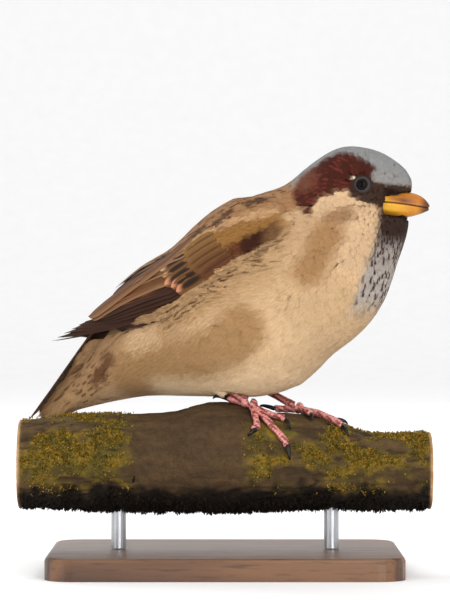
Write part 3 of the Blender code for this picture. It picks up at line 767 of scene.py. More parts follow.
def split_at_lids(skin):
    """Halves the skin's faces around both eyes."""
    centres = corners(skin.data)
    chosen = near_lid(centres, "left", LID_BLEND + 0.3) | near_lid(centres, "right", LID_BLEND + 0.3)
    only(skin)
    skin.data.polygons.foreach_set("select", [all(chosen[v] for v in f.vertices) for f in skin.data.polygons])
    bpy.ops.object.mode_set(mode="EDIT")
    bpy.ops.mesh.select_mode(type="FACE")
    bpy.ops.mesh.subdivide(number_cuts=1)
    bpy.ops.object.mode_set(mode="OBJECT")


def make_skin():
    skin = moulded("skin", FLESH, 0.7, 5)
    points = corners(skin.data)
    tail_end = 1 - ramp(points[:, 0], -48.0, -36.0)
    depth = np.interp(from_bill(points), DISTANCES, DEPTHS) * (1 - 0.4 * tail_end)
    set_corners(skin.data, points - point_normals(skin.data) * depth[:, None])
    apply_modifier(skin, "SMOOTH", factor=0.5, iterations=2)
    for _ in range(2):
        split_at_lids(skin)
    points = corners(skin.data)
    for side in eyes:
        across, height = about_eye(points, side)
        share = 1 - ramp(across, LID_EDGE - 0.35, LID_BLEND)
        rise = (np.interp(across, *zip(*LID_PROFILE)) - height) * share
        shift = np.where(near_lid(points, side, LID_BLEND), rise, 0.0)
        points = points + shift[:, None] * eye_axes[side]
    set_corners(skin.data, points)
    skin.data.shade_smooth()
    return skin


skin = make_skin()
skin_points = corners(skin.data)
print("skin:", len(skin.data.polygons), "faces")

# %% [markdown]
# The skin carries the same markings as the feathers over it, a little darker, as shaded down is. The lids are
# bare dark grey skin. For its map, the skin is unwrapped like a sleeve, by the angle round the body's middle
# line and the place along it, and each feather later takes its colour patch at its root's place on that
# sleeve.

# %% Skin colour and map
LID_GREY = linear(62, 58, 58)


def sleeve(points):
    """Where a point lies on the unwrapped sleeve of the body, as u and v from 0 to 1."""
    along, above = body_place(points)
    above = above - np.interp(along, (-35, 16, 60, 75), (46, 28, 41, 38))  # the body's middle line
    around = np.arctan2(points[..., 1], above) / (2 * math.pi)
    return np.stack([around * 0.96 + 0.5, (along + 45) / 135], axis=-1)


def finish_skin():
    colours = plumage(skin_points) * 0.88
    for side in eyes:
        across, height = about_eye(skin_points, side)
        lid = (1 - ramp(across, 2.45, 2.75)) * (height > 0)
        colours += (LID_GREY - colours) * lid[:, None]
    paint(skin.data, "plumage", colours)
    skin.data.materials.append(skin_finish)
    only(skin)
    for old in list(skin.data.uv_layers):
        skin.data.uv_layers.remove(old)
    layer = skin.data.uv_layers.new(name="OFBake")
    corner_points = np.empty(len(skin.data.loops), np.int32)
    skin.data.loops.foreach_get("vertex_index", corner_points)
    placed = sleeve(skin_points)[corner_points]
    starts = np.array([face.loop_start for face in skin.data.polygons])
    totals = np.array([face.loop_total for face in skin.data.polygons])
    owner = np.repeat(np.arange(len(starts)), totals)
    low = np.minimum.reduceat(placed[:, 0], starts)[owner]
    high = np.maximum.reduceat(placed[:, 0], starts)[owner]
    split = (high - low > 0.5) & (placed[:, 0] < 0.5)  # faces on the sleeve's seam
    placed[:, 0] = np.where(split, 0.995, placed[:, 0])
    layer.data.foreach_set("uv", placed.astype(np.float32).ravel())
    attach(skin, "root")
    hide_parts(*FLESH)


finish_skin()
print("skin map spans", sleeve(skin_points).min(axis=0).round(2), sleeve(skin_points).max(axis=0).round(2))

# %% [markdown]
# ## How feathers lie
# On a living bird the feathers of the body point away from the bill, over the crown, round the eye, down the
# breast and back along the flanks. So the direction at any place is the direction away from the bill, pressed
# flat on the surface, turned aside near the eyes and a little upward where the loose flank feathers lap over
# the folded wing.

# %% Directions
OUT_OF_BILL = np.array([1.0, 0.55, 1.0])  # less to the sides than along and down
FLANK_SPOT = ((6.0, 38.0), 9.0, 13.0)  # place in side view, radius and soft edge
FLANK_LIFT = np.array([-0.45, 0.0, 0.42])
EYE_SPOT = (3.0, 6.5)  # distances from an eye at which its push is full and gone
EYE_PUSH = 0.9


def flat_on(directions, normals):
    return unit(directions - (directions * normals).sum(axis=-1)[..., None] * normals)


def lie_of_feathers(points, normals):
    """Which way feathers point from places on the form."""
    away = unit((points - bill_root) * OUT_OF_BILL)
    flank = near(points, *FLANK_SPOT) * ramp(np.abs(normals[..., 1]), 0.3, 0.8)
    away = away + flank[..., None] * FLANK_LIFT
    for side in eyes:
        beside = points - eyes[side]
        reach = np.linalg.norm(beside, axis=-1)
        push = 1 - ramp(reach, *EYE_SPOT)
        away = away + beside / np.maximum(reach, 0.1)[..., None] * push[..., None] * EYE_PUSH
    return flat_on(away, normals)


crown_lie = lie_of_feathers(np.array([[30.0, 0.0, 80.0]]), np.array([[0.0, 0.0, 1.0]]))
print("lie on the crown", crown_lie.round(2).tolist())

# %% [markdown]
# ## One feather
# A body feather is a fan of loose barbs, so it is made as one: each barb is a blade of three triangles that
# leaves the shaft, stays broad almost to its end and stops on the feather's rounded outline. The blades are
# drawn once in a flat template, s from root to tip and t across. A few templates with different gaps are
# shared by thousands of feathers, which are made as joined meshes from arrays, because no hand could place
# them.

# %% Feather templates
ASPECT = 1.8  # length over width, only for the blades' own width
FAN_TURN = math.radians(118.0)  # how far round to each side the barbs go
FAN_START = 0.12  # where the lowest barbs leave the shaft
DOWN_BLADES = 9
DOWN_WIDE = 0.42
DOWN_REACH = 0.62
DOWN_TURN = 1.9
DOWN_DEPTH = 0.012  # mm under the barbs
BLADE_POINTS = 5
BLADE_FACES = np.array([(0, 2, 3), (0, 3, 1), (2, 4, 3)])


def blade(tip, back, wide):
    """A blade's points: two at its root on the shaft, two where it is about to narrow, and its tip."""
    root = np.array([max(FAN_START, tip[0] - back), tip[1] * 0.12])
    bend = root * 0.22 + tip * 0.78 + np.array([-0.015, tip[1] * 0.07])
    run = (tip - root) * [ASPECT, 1.0]
    cross = np.array([-run[1] / ASPECT, run[0]]) / max(np.linalg.norm(run), 1e-6)
    aside = cross * (wide * 0.5)
    return [root - aside, root + aside, bend - aside, bend + aside, tip]


def fan_template(barbs, wide, seed):
    """Blades as s, t, depth and shade of each point, and their triangles.

    The last few blades are the downy part: broad, shorter and a little deeper, so no gap shows the roots."""
    random = np.random.default_rng(seed)
    turns = np.linspace(-1.0, 1.0, barbs) * FAN_TURN + random.normal(0, 0.03, barbs)
    plan = [(turns[i], 1.0 - random.uniform(0.0, 0.12), wide, 0.0) for i in random.permutation(barbs)]
    for turn in np.linspace(-DOWN_TURN, DOWN_TURN, DOWN_BLADES):
        plan.append((turn, DOWN_REACH, DOWN_WIDE, DOWN_DEPTH))
    points = []
    for turn, reach, blade_wide, _ in plan:
        tip = np.array([0.55 + 0.45 * math.cos(turn) * reach, math.sin(turn) * reach])
        points += blade(tip, random.uniform(0.34, 0.46), blade_wide)
    s, t = np.array(points).T
    turns, _, _, depths = np.array(plan).T
    shades = np.sin(turns * 7.0 + seed) + np.random.default_rng(seed + 100).normal(0.0, 0.5, len(plan))
    faces = BLADE_FACES + np.arange(len(plan))[:, None, None] * BLADE_POINTS
    return s, t, np.repeat(depths, BLADE_POINTS), np.repeat(shades, BLADE_POINTS), faces.reshape(-1, 3)


TEMPLATES = {
    "fine": [fan_template(27, 0.11, seed) for seed in range(6)],
    "soft": [fan_template(43, 0.075, seed) for seed in range(10, 16)],
}
print({kind: len(group[0][-1]) for kind, group in TEMPLATES.items()}, "triangles in a feather")

# %% [markdown]
# ## Where feathers are rooted
# Roots are thrown on the outer form at random and kept only where no other root is too near, which gives the
# even but unruled spacing of real feather tracts. No feather is rooted on an eye, under the bill's base,
# under the long feathers of the folded wing, over the tail or where a leg comes out.

# %% Roots
SPACINGS = (0.55, 0.72, 0.9, 1.08, 1.22, 1.28)
LENGTHS = (1.5, 2.4, 3.8, 6.5, 9.5, 10.5)
WIDTHS = (0.5, 0.72, 1.0, 1.4, 1.8, 1.9)  # half widths
CHART_START = np.array([20.0, 50.0])
CHART_ALONG = np.array([-0.942, -0.336])
CHART_UP = np.array([-0.336, 0.942])
THROWS = 3.2  # points thrown for each that could be kept
CELL = 1.6  # wider than any spacing
AROUND = [(i, j, k) for i in (-1, 0, 1) for j in (-1, 0, 1) for k in (-1, 0, 1)]


def wing_place(points):
    """How far back along the folded wing, and how far up it, a point lies in side view."""
    flat = points[..., [0, 2]] - CHART_START
    return flat @ CHART_ALONG, flat @ CHART_UP


def lapped_edge(along):
    """The line up the folded wing to which the flank's feathers lap over it."""
    return np.interp(along, (20.0, 25.0, 36.0, 50.0), (0.0, -2.2, -6.0, -7.2))


def spacing_at(points):
    return np.interp(from_bill(points), DISTANCES, SPACINGS)


def throw_roots(seed):
    """Random places on the outer form, more of them where feathers stand closer."""
    random = np.random.default_rng(seed)
    triangles = []
    for face in form.faces:
        triangles += [face[:3]] if len(face) == 3 else [face[:3], (face[0], face[2], face[3])]
    tri = form.points[np.array(triangles)]
    span = np.cross(tri[:, 1] - tri[:, 0], tri[:, 2] - tri[:, 0])
    area = np.linalg.norm(span, axis=1) / 2
    weight = area / spacing_at(tri.mean(axis=1)) ** 2
    picked = random.choice(len(tri), int(weight.sum() * THROWS), p=weight / weight.sum())
    a, b = random.random((2, len(picked)))
    a, b = np.where(a + b > 1, 1 - a, a), np.where(a + b > 1, 1 - b, b)
    first, second, third = (tri[picked, i] for i in range(3))
    return first + a[:, None] * (second - first) + b[:, None] * (third - first)


def spaced(points):
    """The places that are left when none may stand nearer to an earlier one than the spacing there."""
    cells = {}
    kept = []
    for number, (point, gap) in enumerate(zip(points, spacing_at(points))):
        x, y, z = (point // CELL).astype(int)
        nearby = [other for i, j, k in AROUND for other in cells.get((x + i, y + j, z + k), ())]
        apart = points[nearby] - point
        if ((apart * apart).sum(axis=1) >= gap * gap).all():
            cells.setdefault((x, y, z), []).append(number)
            kept.append(number)
    return points[kept]


LEG_HOLES = (np.array([-10.0, -8.5, 6.5]), np.array([-2.0, 9.0, 5.0]))
LEG_HOLE_RADIUS = 2.2
LID_RADIUS = 2.6
# the folded wing takes no feathers away from under this line, given as x and height
UNDERSIDE = ((-72, -59, -47, -37, -28, -21), (17, 19, 21, 22.5, 24, 26))
TAIL_ROOT = np.array([-48.5, 0.0, 27.1])


def rooted(points):
    """Which of the thrown roots carry a feather."""
    keep = beside_bill(points) < 0.3
    for side in eyes:
        across, height = about_eye(points, side)
        keep &= ~((across < LID_RADIUS) & (height > 0))
    for place in LEG_HOLES:
        keep &= np.linalg.norm(points - place, axis=1) > LEG_HOLE_RADIUS
    x, y, z = points.T
    along, up = wing_place(points)
    below = z < np.interp(x, *UNDERSIDE)
    ridge = (np.abs(y) < 7.0) & (x > -38.0) & (z > 34.0)
    under_vanes = (along > 34.0) & (up > -6.0 + 0.1 * (along - 34.0)) & (up < 30.0) & (along > 38.0 - 0.2 * up)
    keep &= ~((under_vanes | (along > 52.0)) & ~below & ~ridge)
    keep &= ~((along > 26.0) & (up > lapped_edge(along)) & (up < 11.0) & ~below)
    from_tail_x, from_tail_z = x - TAIL_ROOT[0], z - TAIL_ROOT[2]
    over_tail = from_tail_x * -0.779 + from_tail_z * 0.627
    down_tail = from_tail_x * -0.627 + from_tail_z * -0.779
    keep &= (down_tail < 8.0) | ((over_tail < -3.2) & (down_tail < 36.0))
    return keep


roots = spaced(throw_roots(7))
roots = roots[rooted(roots)]
print(len(roots), "feathers rooted")

# %% [markdown]
# ## Laying the coat
# Each feather follows the surface: from its root it takes a few short steps along the lie, and each step is
# put back on the outer form. The template is then bent along that line and wrapped over the form to both
# sides. Only its root lies deep in the coat: it soon rises to the form, so the feathers overlap like tiles
# and the outline stays true. The shading normals follow the form, with a slight roll across each feather,
# which keeps thousands of thin blades looking soft.

# %% Feather layer
STEPS = 4
SWAY = 0.09
UNDER_FORM = 0.12  # how far under the form the tips lie
RISE_POWER = 5.0  # a high power brings a feather up close to its root
LOOSE = 0.018  # how far a tip may stand off, as a share of the coat's depth
ROOT_SHADE, ROOT_DIM = 0.94, 0.06
PATCH = 0.0015  # half the size of a feather's patch on the map


def fall_to_sides(line, normals, beside, half):
    """How far the form drops away at half to each side of points on it, so that a feather can wrap over it."""
    fall = np.zeros(line.shape[:-1])
    flat_line, flat_normals, flat_beside = (a.reshape(-1, 3) for a in (line, normals, beside))
    for sign in (-1, 1):
        edge, _ = form.put(flat_line + flat_beside * (sign * half).reshape(-1, 1))
        fall += (((edge - flat_line) * flat_normals).sum(axis=1)).reshape(fall.shape) / 2
    return np.clip(fall, -0.5 * half, 0.15 * half)


def streak_strength(points):
    """How much the barbs of a feather differ in shade: most on the flank under the wing."""
    x = points[:, 0]
    _, above = body_place(points)
    flank = ramp(above, 18.0, 30.0) * (1 - ramp(x, 8.0, 24.0)) * ramp(x, -40.0, -24.0)
    return 0.055 + 0.075 * flank


def grow_spines(places, size, sway):
    """Each feather's middle line, in short steps along the lie, and the form's normals at the steps."""
    spine, up = form.put(places)
    spines, ups = [spine], [up]
    for _ in range(STEPS):
        ahead = lie_of_feathers(spine, up)
        ahead = flat_on(ahead + np.cross(up, ahead) * sway[:, None], up)
        spine, up = form.put(spine + ahead * (size / STEPS)[:, None])
        spines.append(spine)
        ups.append(up)
    return np.array(spines), np.array(ups)


def read_off(steps, low, share):
    """Values held at the steps of feathers, at places past the step low by a share: a row for each feather."""
    share = share.reshape(-1, *[1] * (steps.ndim - 1))
    return (steps[low] * (1 - share) + steps[low + 1] * share).swapaxes(0, 1)


def feather_tint(pattern, key, middle, template, streaks, random):
    """The colours of feathers' points, from the place near each tip and from each point's own place."""
    s, t, _, shade, _ = template
    tint = plumage(key)[:, None, :] * 0.4 + plumage(middle) * 0.6
    s_all, t_all = (np.broadcast_to(values, middle.shape[:2]) for values in (s, t))
    tint = pattern(tint, key[:, None, :], s_all, t_all, random.random((3, len(key), 1)))
    tint = tint * (ROOT_SHADE + ROOT_DIM * ramp(s, 0.15, 0.7))[:, None]
    tint = tint * (1 + np.clip(shade, -2, 2) * streaks[:, None])[..., None]
    return tint * random.normal(1.0, 0.018, (len(key), 1, 1))


def lay_feathers(name, places, kind, pattern, seed):
    """Joins one feather for each root into a single piece."""
    random = np.random.default_rng(seed)
    count = len(places)
    reach = from_bill(places)
    size = np.interp(reach, DISTANCES, LENGTHS) * random.uniform(0.88, 1.14, count)
    half = np.interp(reach, DISTANCES, WIDTHS) * random.uniform(0.9, 1.1, count)
    depth = np.interp(reach, DISTANCES, DEPTHS)
    spines, ups = grow_spines(places, size, random.normal(0, SWAY, count))
    beside = unit(np.cross(ups, np.gradient(spines, axis=0)))
    fall = fall_to_sides(spines, ups, beside, np.broadcast_to(half, spines.shape[:2]))
    choice = random.integers(0, len(TEMPLATES[kind]), count)
    loose = random.uniform(0.0, LOOSE, count) * depth
    streaks = streak_strength(places)
    parts = []
    first = 0
    for which, template in enumerate(TEMPLATES[kind]):
        s, t, deep, _, triangles = template
        mine = np.flatnonzero(choice == which)
        station = np.clip(s * STEPS, 0, STEPS - 1e-6)
        low = station.astype(int)
        middle, normal, wrap = (read_off(steps[:, mine], low, station - low) for steps in (spines, ups, fall))
        beside = unit(np.cross(normal, np.diff(spines[:, mine], axis=0)[low].swapaxes(0, 1)))
        rise = -depth[mine, None] * (1 - s) ** RISE_POWER * 0.9
        rise = rise + (wrap - 0.015 * half[mine, None]) * (t * t)
        rise = rise + loose[mine, None] * s**2 - UNDER_FORM - deep
        place = middle + beside * (t * half[mine, None])[..., None] + normal * rise[..., None]
        faces = triangles + first + np.arange(len(mine))[:, None, None] * len(s)
        first += len(mine) * len(s)
        tint = feather_tint(pattern, spines[STEPS - 1][mine], middle, template, streaks[mine], random)
        soft = normal + beside * (t * 0.03)[:, None]
        patch = sleeve(places[mine])[:, None, :] + PATCH * np.stack([t, 2 * s - 1], axis=-1)
        parts.append([values.reshape(-1, values.shape[-1]) for values in (place, faces, tint, soft, patch)])
    return feather_piece(name, *(np.concatenate(column) for column in zip(*parts)), down, "buff")


def feather_piece(name, vertices, faces, colours, shading, maps, finish, slot):
    mesh = bpy.data.meshes.new(name)
    mesh.vertices.add(len(vertices))
    mesh.vertices.foreach_set("co", to_world(vertices).astype(np.float32).ravel())
    mesh.loops.add(faces.size)
    mesh.loops.foreach_set("vertex_index", faces.astype(np.int32).ravel())
    mesh.polygons.add(len(faces))
    mesh.polygons.foreach_set("loop_start", np.arange(0, faces.size, faces.shape[1], dtype=np.int32))
    mesh.update(calc_edges=True)
    layer = mesh.uv_layers.new(name="OFBake")
    layer.data.foreach_set("uv", maps[faces.ravel()].astype(np.float32).ravel())
    coloured(mesh, "plumage", colours, finish)
    if shading is not None:
        rolled = turn_about_z(unit(shading), BIRD_YAW)
        mesh.normals_split_custom_set_from_vertices([tuple(n) for n in rolled])
    piece = bpy.data.objects.new(name, mesh)
    bpy.context.scene.collection.objects.link(piece)
    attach(piece, "root")
    return piece


print("feather layer ready")

# %% [markdown]
# ## The coat, tract by tract
# The coat is split where the feather tracts of a bird meet, so that each piece stays light: head, breast,
# belly, the two flanks, back and rump. The small coverts at the bend of each wing belong to the flanks and
# the back.

# %% Coat pieces
def centre_streak(tint, s, t, amount, colour, wide):
    """Darkens the middle of a feather towards its tip and leaves a pale fringe."""
    mark = (1 - ramp(np.abs(t), wide * 0.6, wide * 1.3)) * (1 - ramp(s, 0.86, 0.97))
    return tint + (colour - tint) * (mark * amount)[..., None]


STREAK = linear(70, 42, 26)
CHESTNUT_RED = linear(112, 48, 38)
BIB_SPOT = linear(48, 30, 28)


def body_pattern(tint, key, s, t, dice):
    """Dark middles in feathers of the bib and streaks in others: on the mantle, chestnut and rump, with
    painted shade on the flank where its feathers lap over the wing.
    """
    p = face_ahead(key)
    x, y, z = p[..., 0], np.abs(p[..., 1]), p[..., 2]
    bib = bib_front(x, y, z) * (1 - ramp(z, 54.0, 57.0))
    tint = centre_streak(tint, s, t, bib * (dice[0] > 0.6 - 0.4 * ramp(z, 40.0, 50.0)), BIB_SPOT, 0.42)
    _, above = body_place(p)
    mantle = ramp(above, 47.0, 50.0) * (1 - ramp(x, 14.0, 22.0))
    tint = centre_streak(tint, s, t, mantle * (dice[0] > 0.66), STREAK, 0.3)
    chestnut = inside(p, CHESTNUT_AREA, 0.8) * ramp(y, 2.5, 4.5) * (1 - ramp(x, 33.0, 40.0))
    tint = centre_streak(tint, s, t, chestnut * (dice[2] > 0.4) * (0.2 + 0.5 * dice[1]), CHESTNUT_RED, 0.35)
    along, up = wing_place(p)
    edge = lapped_edge(along)
    fringe = ramp(up, edge - 8.0, edge - 3.0) * (1 - ramp(up, edge, edge + 2.0))  # under the wing's edge
    fringe = fringe * ramp(along, -2.0, 8.0) * (1 - ramp(along, 44.0, 52.0)) * ramp(y, 7.0, 9.0)
    # painted shade: dark streaks at the tips of flank feathers under the wing's edge stand for the shadowed
    # gaps between them
    tint = centre_streak(tint, s, t, fringe * (dice[1] > 0.3), FLANK_GAP_SHADE, 0.22)
    rear = 1 - ramp(x, -50.0, -38.0)
    return centre_streak(tint, s, t, rear * (dice[0] > 0.7) * 0.8, STREAK, 0.25)


def tract_of(points):
    """The number of the tract that each root belongs to."""
    x, y, z = points.T
    along, above = body_place(points)
    reach = from_bill(points)
    tract = np.where(y < 0, 3, 4)  # flanks
    tract = np.where(z < 22.0, 2, tract)  # belly
    tract = np.where(above > 44.0, 5, tract)  # back
    tract = np.where(along < -8.0, 6, tract)  # rump and under the tail
    tract = np.where((reach < 34.0) & (x > 24.0) & (z < 60.0), 1, tract)  # breast
    return np.where((reach < 32.0) & (z > 50.0), 0, tract)  # head


TRACTS = ("head", "breast", "belly", "flank_right", "flank_left", "back", "rump")
tract = tract_of(roots)
total = 0
for number, label in enumerate(TRACTS):
    mine = roots[tract == number]
    kind = "fine" if label == "head" else "soft"
    piece = lay_feathers(f"coat_{label}", mine, kind, body_pattern, 40 + number)
    total += len(piece.data.polygons)
    print(label, len(mine), "feathers,", len(piece.data.polygons), "triangles")
print("coat:", total, "triangles")

# %% [markdown]
# ## Vaned feathers
# Wing and tail feathers are stiff vanes with a shaft, not loose fans. Each is made as a thin closed blade: a
# grid from base to tip and across, rounded or pointed at its end and narrower on its leading side. On the
# wing it is laid on the outer form like a strip of veneer. Its colours are stored on its points, and its own
# place across and along is stored too, so that one material can draw the fine barbs at the right slant on
# every feather.

# %% Vane builder
ACROSS = np.array([-1.0, -0.86, -0.62, -0.36, -0.14, -0.05, 0.05, 0.14, 0.36, 0.62, 0.86, 1.0])
ROWS = 30
VANE_THICK = 0.13
SHAFT_HIGH, SHAFT_HALF = 0.10, 0.08
SWEEP = 0.12  # how far the middle of a cross row runs ahead of its ends, as a share of the half width
BLUNT = {"round": 0.14, "point": 0.42}  # the share of the length that narrows to the tip


def vane_outline(s, tip):
    """The share of its full width that a vane has at s."""
    past = np.clip((s - 1 + BLUNT[tip]) / BLUNT[tip], 0, None)
    end = np.sqrt(np.clip(1 - past**2, 0, 1)) if tip == "round" else 1 - past**1.7 * 0.97
    return np.maximum(end * (0.5 + 0.5 * ramp(s, 0.0, 0.22)), 0.03)


class Vanes:
    """Collects vanes and turns them into one piece."""

    def __init__(self):
        self.parts = []

    def add(self, line, normals, half, leading, tip, colour, curl, lead_sign, wrapped=True):
        """line and normals hold one point for each row. leading is the leading side's share of the width,
        and curl is how far the sides bend down."""
        s = np.linspace(0, 1, len(line))
        outline = vane_outline(s, tip)[:, None]
        ahead = unit(np.gradient(line, axis=0))
        beside = unit(np.cross(normals, ahead))
        fall = np.zeros(len(line))
        if wrapped:
            fall = eased(fall_to_sides(line, normals, beside, np.full(len(line), half)), 6)
        t = np.broadcast_to(ACROSS, (len(line), len(ACROSS)))
        side_half = np.where(t * lead_sign > 0, leading, 1.0) * half
        out = t * side_half * outline
        # near the tip the middle of each cross row runs ahead of its ends, which rounds the tip
        sweep = (1 - t * t) * half * SWEEP * ramp(s, 0.7, 1.0)[:, None]
        place = line[:, None] + beside[:, None] * out[..., None] + ahead[:, None] * sweep[..., None]
        shaft = SHAFT_HIGH * np.exp(-((t / SHAFT_HALF) ** 2)) * (1 - s[:, None] * 0.7)
        drop = (fall[:, None] - curl) * (t * t) * outline**2 + shaft
        top = place + normals[:, None] * drop[..., None]
        bottom = place + normals[:, None] * (drop - VANE_THICK)[..., None]
        tint = colour(np.broadcast_to(s[:, None], t.shape), t * lead_sign)
        along = s[:, None] * np.linalg.norm(np.diff(line, axis=0), axis=1).sum()
        own = np.stack([out, np.broadcast_to(along, t.shape), np.zeros(t.shape)], -1)
        self.parts.append((top, bottom, tint, own))

    def finish(self, name, slot, replaced):
        """Joins the vanes, each with a top, an underside and a rim, and with two patches of the map."""
        vertices, faces, colours, owns, maps = [], [], [], [], []
        first = 0
        cells = math.ceil(math.sqrt(len(self.parts)))
        for index, (top, bottom, tint, own) in enumerate(self.parts):
            rows, columns = top.shape[:2]
            grid = np.arange(rows * columns).reshape(rows, columns)
            a, b, c, d = grid[:-1, :-1], grid[:-1, 1:], grid[1:, 1:], grid[1:, :-1]
            shell = [np.stack([a, d, c, b], -1).reshape(-1, 4)]
            shell.append(np.stack([a, b, c, d], -1).reshape(-1, 4) + rows * columns)
            ring = np.concatenate([grid[0], grid[1:, -1], grid[-1, -2::-1], grid[-2:0:-1, 0]])
            following = np.roll(ring, -1)
            shell.append(np.stack([ring, following, following + rows * columns, ring + rows * columns], -1))
            faces.append(np.concatenate(shell) + first)
            vertices += [top.reshape(-1, 3), bottom.reshape(-1, 3)]
            # painted shade: the underside gets the top's colours, darker
            colours += [tint.reshape(-1, 3), tint.reshape(-1, 3) * 0.8]
            owns += [own.reshape(-1, 3)] * 2
            cell_u, cell_v = index % cells, index // cells
            u = np.broadcast_to((ACROSS * 0.44 + 0.5)[None], (rows, columns))
            v = np.broadcast_to((np.linspace(0.04, 0.96, rows))[:, None], (rows, columns))
            patch = np.stack([(cell_u + u * 0.5) / cells, (cell_v + v) / cells], -1).reshape(-1, 2)
            maps += [patch, patch + [0.5 / cells, 0]]
            first += rows * columns * 2
        vertices, faces, colours, owns, maps = map(np.concatenate, (vertices, faces, colours, owns, maps))
        piece = feather_piece(name, vertices, faces, colours, None, maps, vane, slot)
        layer = piece.data.attributes.new("vane", "FLOAT_VECTOR", "POINT")
        layer.data.foreach_set("vector", owns.astype(np.float32).ravel())
        face_outward(piece)
        bpy.ops.object.shade_smooth_by_angle(angle=math.radians(60))
        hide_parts(*replaced)
        return piece


def smooth_curve(controls, rows):
    """A quadratic curve that passes through its three control points at 0, 0.5 and 1."""
    start, middle, end = (np.asarray(c, float) for c in controls)
    s = np.linspace(0, 1, rows)[:, None]
    bend = 2 * middle - 0.5 * (start + end)
    return start * (1 - s) ** 2 + bend * 2 * s * (1 - s) + end * s**2


def eased(line, rounds=3):
    for _ in range(rounds):
        line = line.copy()
        line[1:-1] = line[1:-1] * 0.5 + (line[:-2] + line[2:]) * 0.25
    return line


print("vane builder ready,", len(ACROSS), "by", ROWS, "points")

# %% [markdown]
# ## The folded wing
# A folded wing shows its feathers as a hand of cards. The long primaries lie lowest, each showing a narrow
# strip. The secondaries lie over them, the broad tertials close over the back, and the greater and median
# coverts roof the bases of all of these: the greater ones with dark hearts and pale tips, the median ones
# redder and streaked. The lists below give each feather's shaft on the side view of the wing, as distance
# back along it and height over its middle line. The tertials' list has their half widths too.

# %% Wing feathers
WING_DARK = linear(56, 33, 22)
WING_BLACK = linear(28, 18, 13)
WING_BROWN = linear(88, 54, 28)
PRIMARY_EDGE = linear(136, 98, 68)
TERTIAL = linear(100, 64, 37)
TERTIAL_PALE = linear(150, 112, 78)
RUFOUS = linear(142, 88, 56)
BAR_WHITE = linear(196, 164, 128)
BAR_BUFF = linear(188, 142, 96)
BAR_PINK = linear(204, 136, 102)
OLIVE = linear(124, 88, 44)

PRIMARIES = (
    ((38.0, -5.7), (62.0, -4.9), (94.0, 0.2)), ((38.0, -4.9), (62.0, -3.2), (91.8, 0.7)),
    ((38.0, -4.3), (62.0, -2.0), (88.8, 1.1)), ((38.0, -3.7), (61.0, -1.3), (85.6, 1.4)),
    ((38.0, -3.1), (60.0, -0.7), (82.2, 1.6)), ((38.0, -2.5), (59.0, -0.2), (79.0, 1.7)),
)
SECONDARIES = (
    ((34.0, -3.4), (53.0, -2.4), (70.5, 0.4)), ((34.0, -2.4), (53.0, -1.2), (71.5, 0.9)),
    ((34.0, -1.3), (53.0, 0.0), (72.2, 1.4)), ((34.0, -0.2), (53.0, 1.2), (72.8, 1.8)),
)
TERTIALS = (
    (((33.0, 2.8), (55.0, 4.1), (76.0, 2.2)), 3.3), (((32.0, 6.2), (50.0, 7.6), (67.0, 5.2)), 3.4),
    (((31.0, 9.6), (45.0, 10.1), (60.0, 7.2)), 3.2), (((28.0, 13.4), (37.0, 13.0), (47.0, 10.2)), 3.0),
)
RIDGE_TERTIAL = ((32.0, 13.6), (54.0, 7.0), (77.0, 2.8))  # lies along the ridge of the back
RIDGE_EXACT = 44.0  # from here on back it keeps to its list
TIP_EXACT = 74.0  # and the other feathers from here, past the end of the form
# depth under the form of the first feather of a row, and how much less each next one has
PRIMARY_DEPTHS, SECONDARY_DEPTHS, TERTIAL_DEPTHS = (1.75, 0.13), (1.0, 0.12), (0.56, 0.12)
GREATER_DEPTHS, MEDIAN_DEPTHS = (0.24, 0.05), (0.1, 0.05)
LEFT_UNDER_RIGHT = 0.25  # the right wing lies over the left on the back
FIRST_PRIMARY_HALF, PRIMARY_HALF, SECONDARY_HALF, RIDGE_HALF = 2.7, 2.3, 2.6, 3.1
GREATER_HALF, MEDIAN_HALF = 2.2, 2.1
GREATER = (
    ((30.0, 9.4), (45.0, 6.9)), ((29.0, 6.8), (44.2, 4.4)), ((27.5, 4.3), (43.4, 2.0)),
    ((25.5, 1.9), (41.4, -0.2)), ((24.5, -0.2), (39.6, -2.2)),
)
GREATER_TIPS = (BAR_WHITE, BAR_BUFF, BAR_PINK, BAR_PINK, BAR_PINK)
MEDIAN = (
    ((23.0, 11.4), (36.0, 9.2)), ((22.0, 9.0), (34.6, 6.8)), ((20.5, 6.6), (33.0, 4.4)),
    ((19.0, 4.2), (31.4, 2.0)), ((17.5, 2.0), (29.6, -0.4)),
)


def on_wing(controls, sign, layer, exact_from=TIP_EXACT):
    """A shaft line and its normals on the form, sunk by its layer."""
    flat = smooth_curve(controls, ROWS)
    x = CHART_START[0] + CHART_ALONG[0] * flat[:, 0] + CHART_UP[0] * flat[:, 1]
    z = CHART_START[1] + CHART_ALONG[1] * flat[:, 0] + CHART_UP[1] * flat[:, 1]
    line = eased(np.array([form.seen_from_side(a, b, sign) for a, b in zip(x, z)]), 4)
    line, normals = form.put(line)
    normals = unit(eased(normals, 8))
    line = eased(line, 2) - normals * layer
    beyond = ramp(flat[:, 0], exact_from, exact_from + 6.0)  # the thin tip reaches past the form
    line[:, 0] += (x - line[:, 0]) * beyond
    line[:, 2] += (z - line[:, 2]) * beyond
    return line, normals


def blend(first, second, share):
    return first + (second - first) * share[..., None]


def plain(tint, values):
    """One colour for each of the values."""
    return np.broadcast_to(tint, (*values.shape, 3))


def primary_colour(s, lead):
    tint = blend(plain(WING_DARK, s), WING_BLACK, ramp(lead, -0.2, 0.3))
    return blend(tint, PRIMARY_EDGE, ramp(lead, 0.74, 0.9) * (1 - ramp(s, 0.8, 0.95)) * 0.8)


def secondary_colour(s, lead):
    return blend(plain(WING_DARK, s), RUFOUS, ramp(lead, 0.45, 0.9) * 0.75 * ramp(s, 0.3, 0.6))


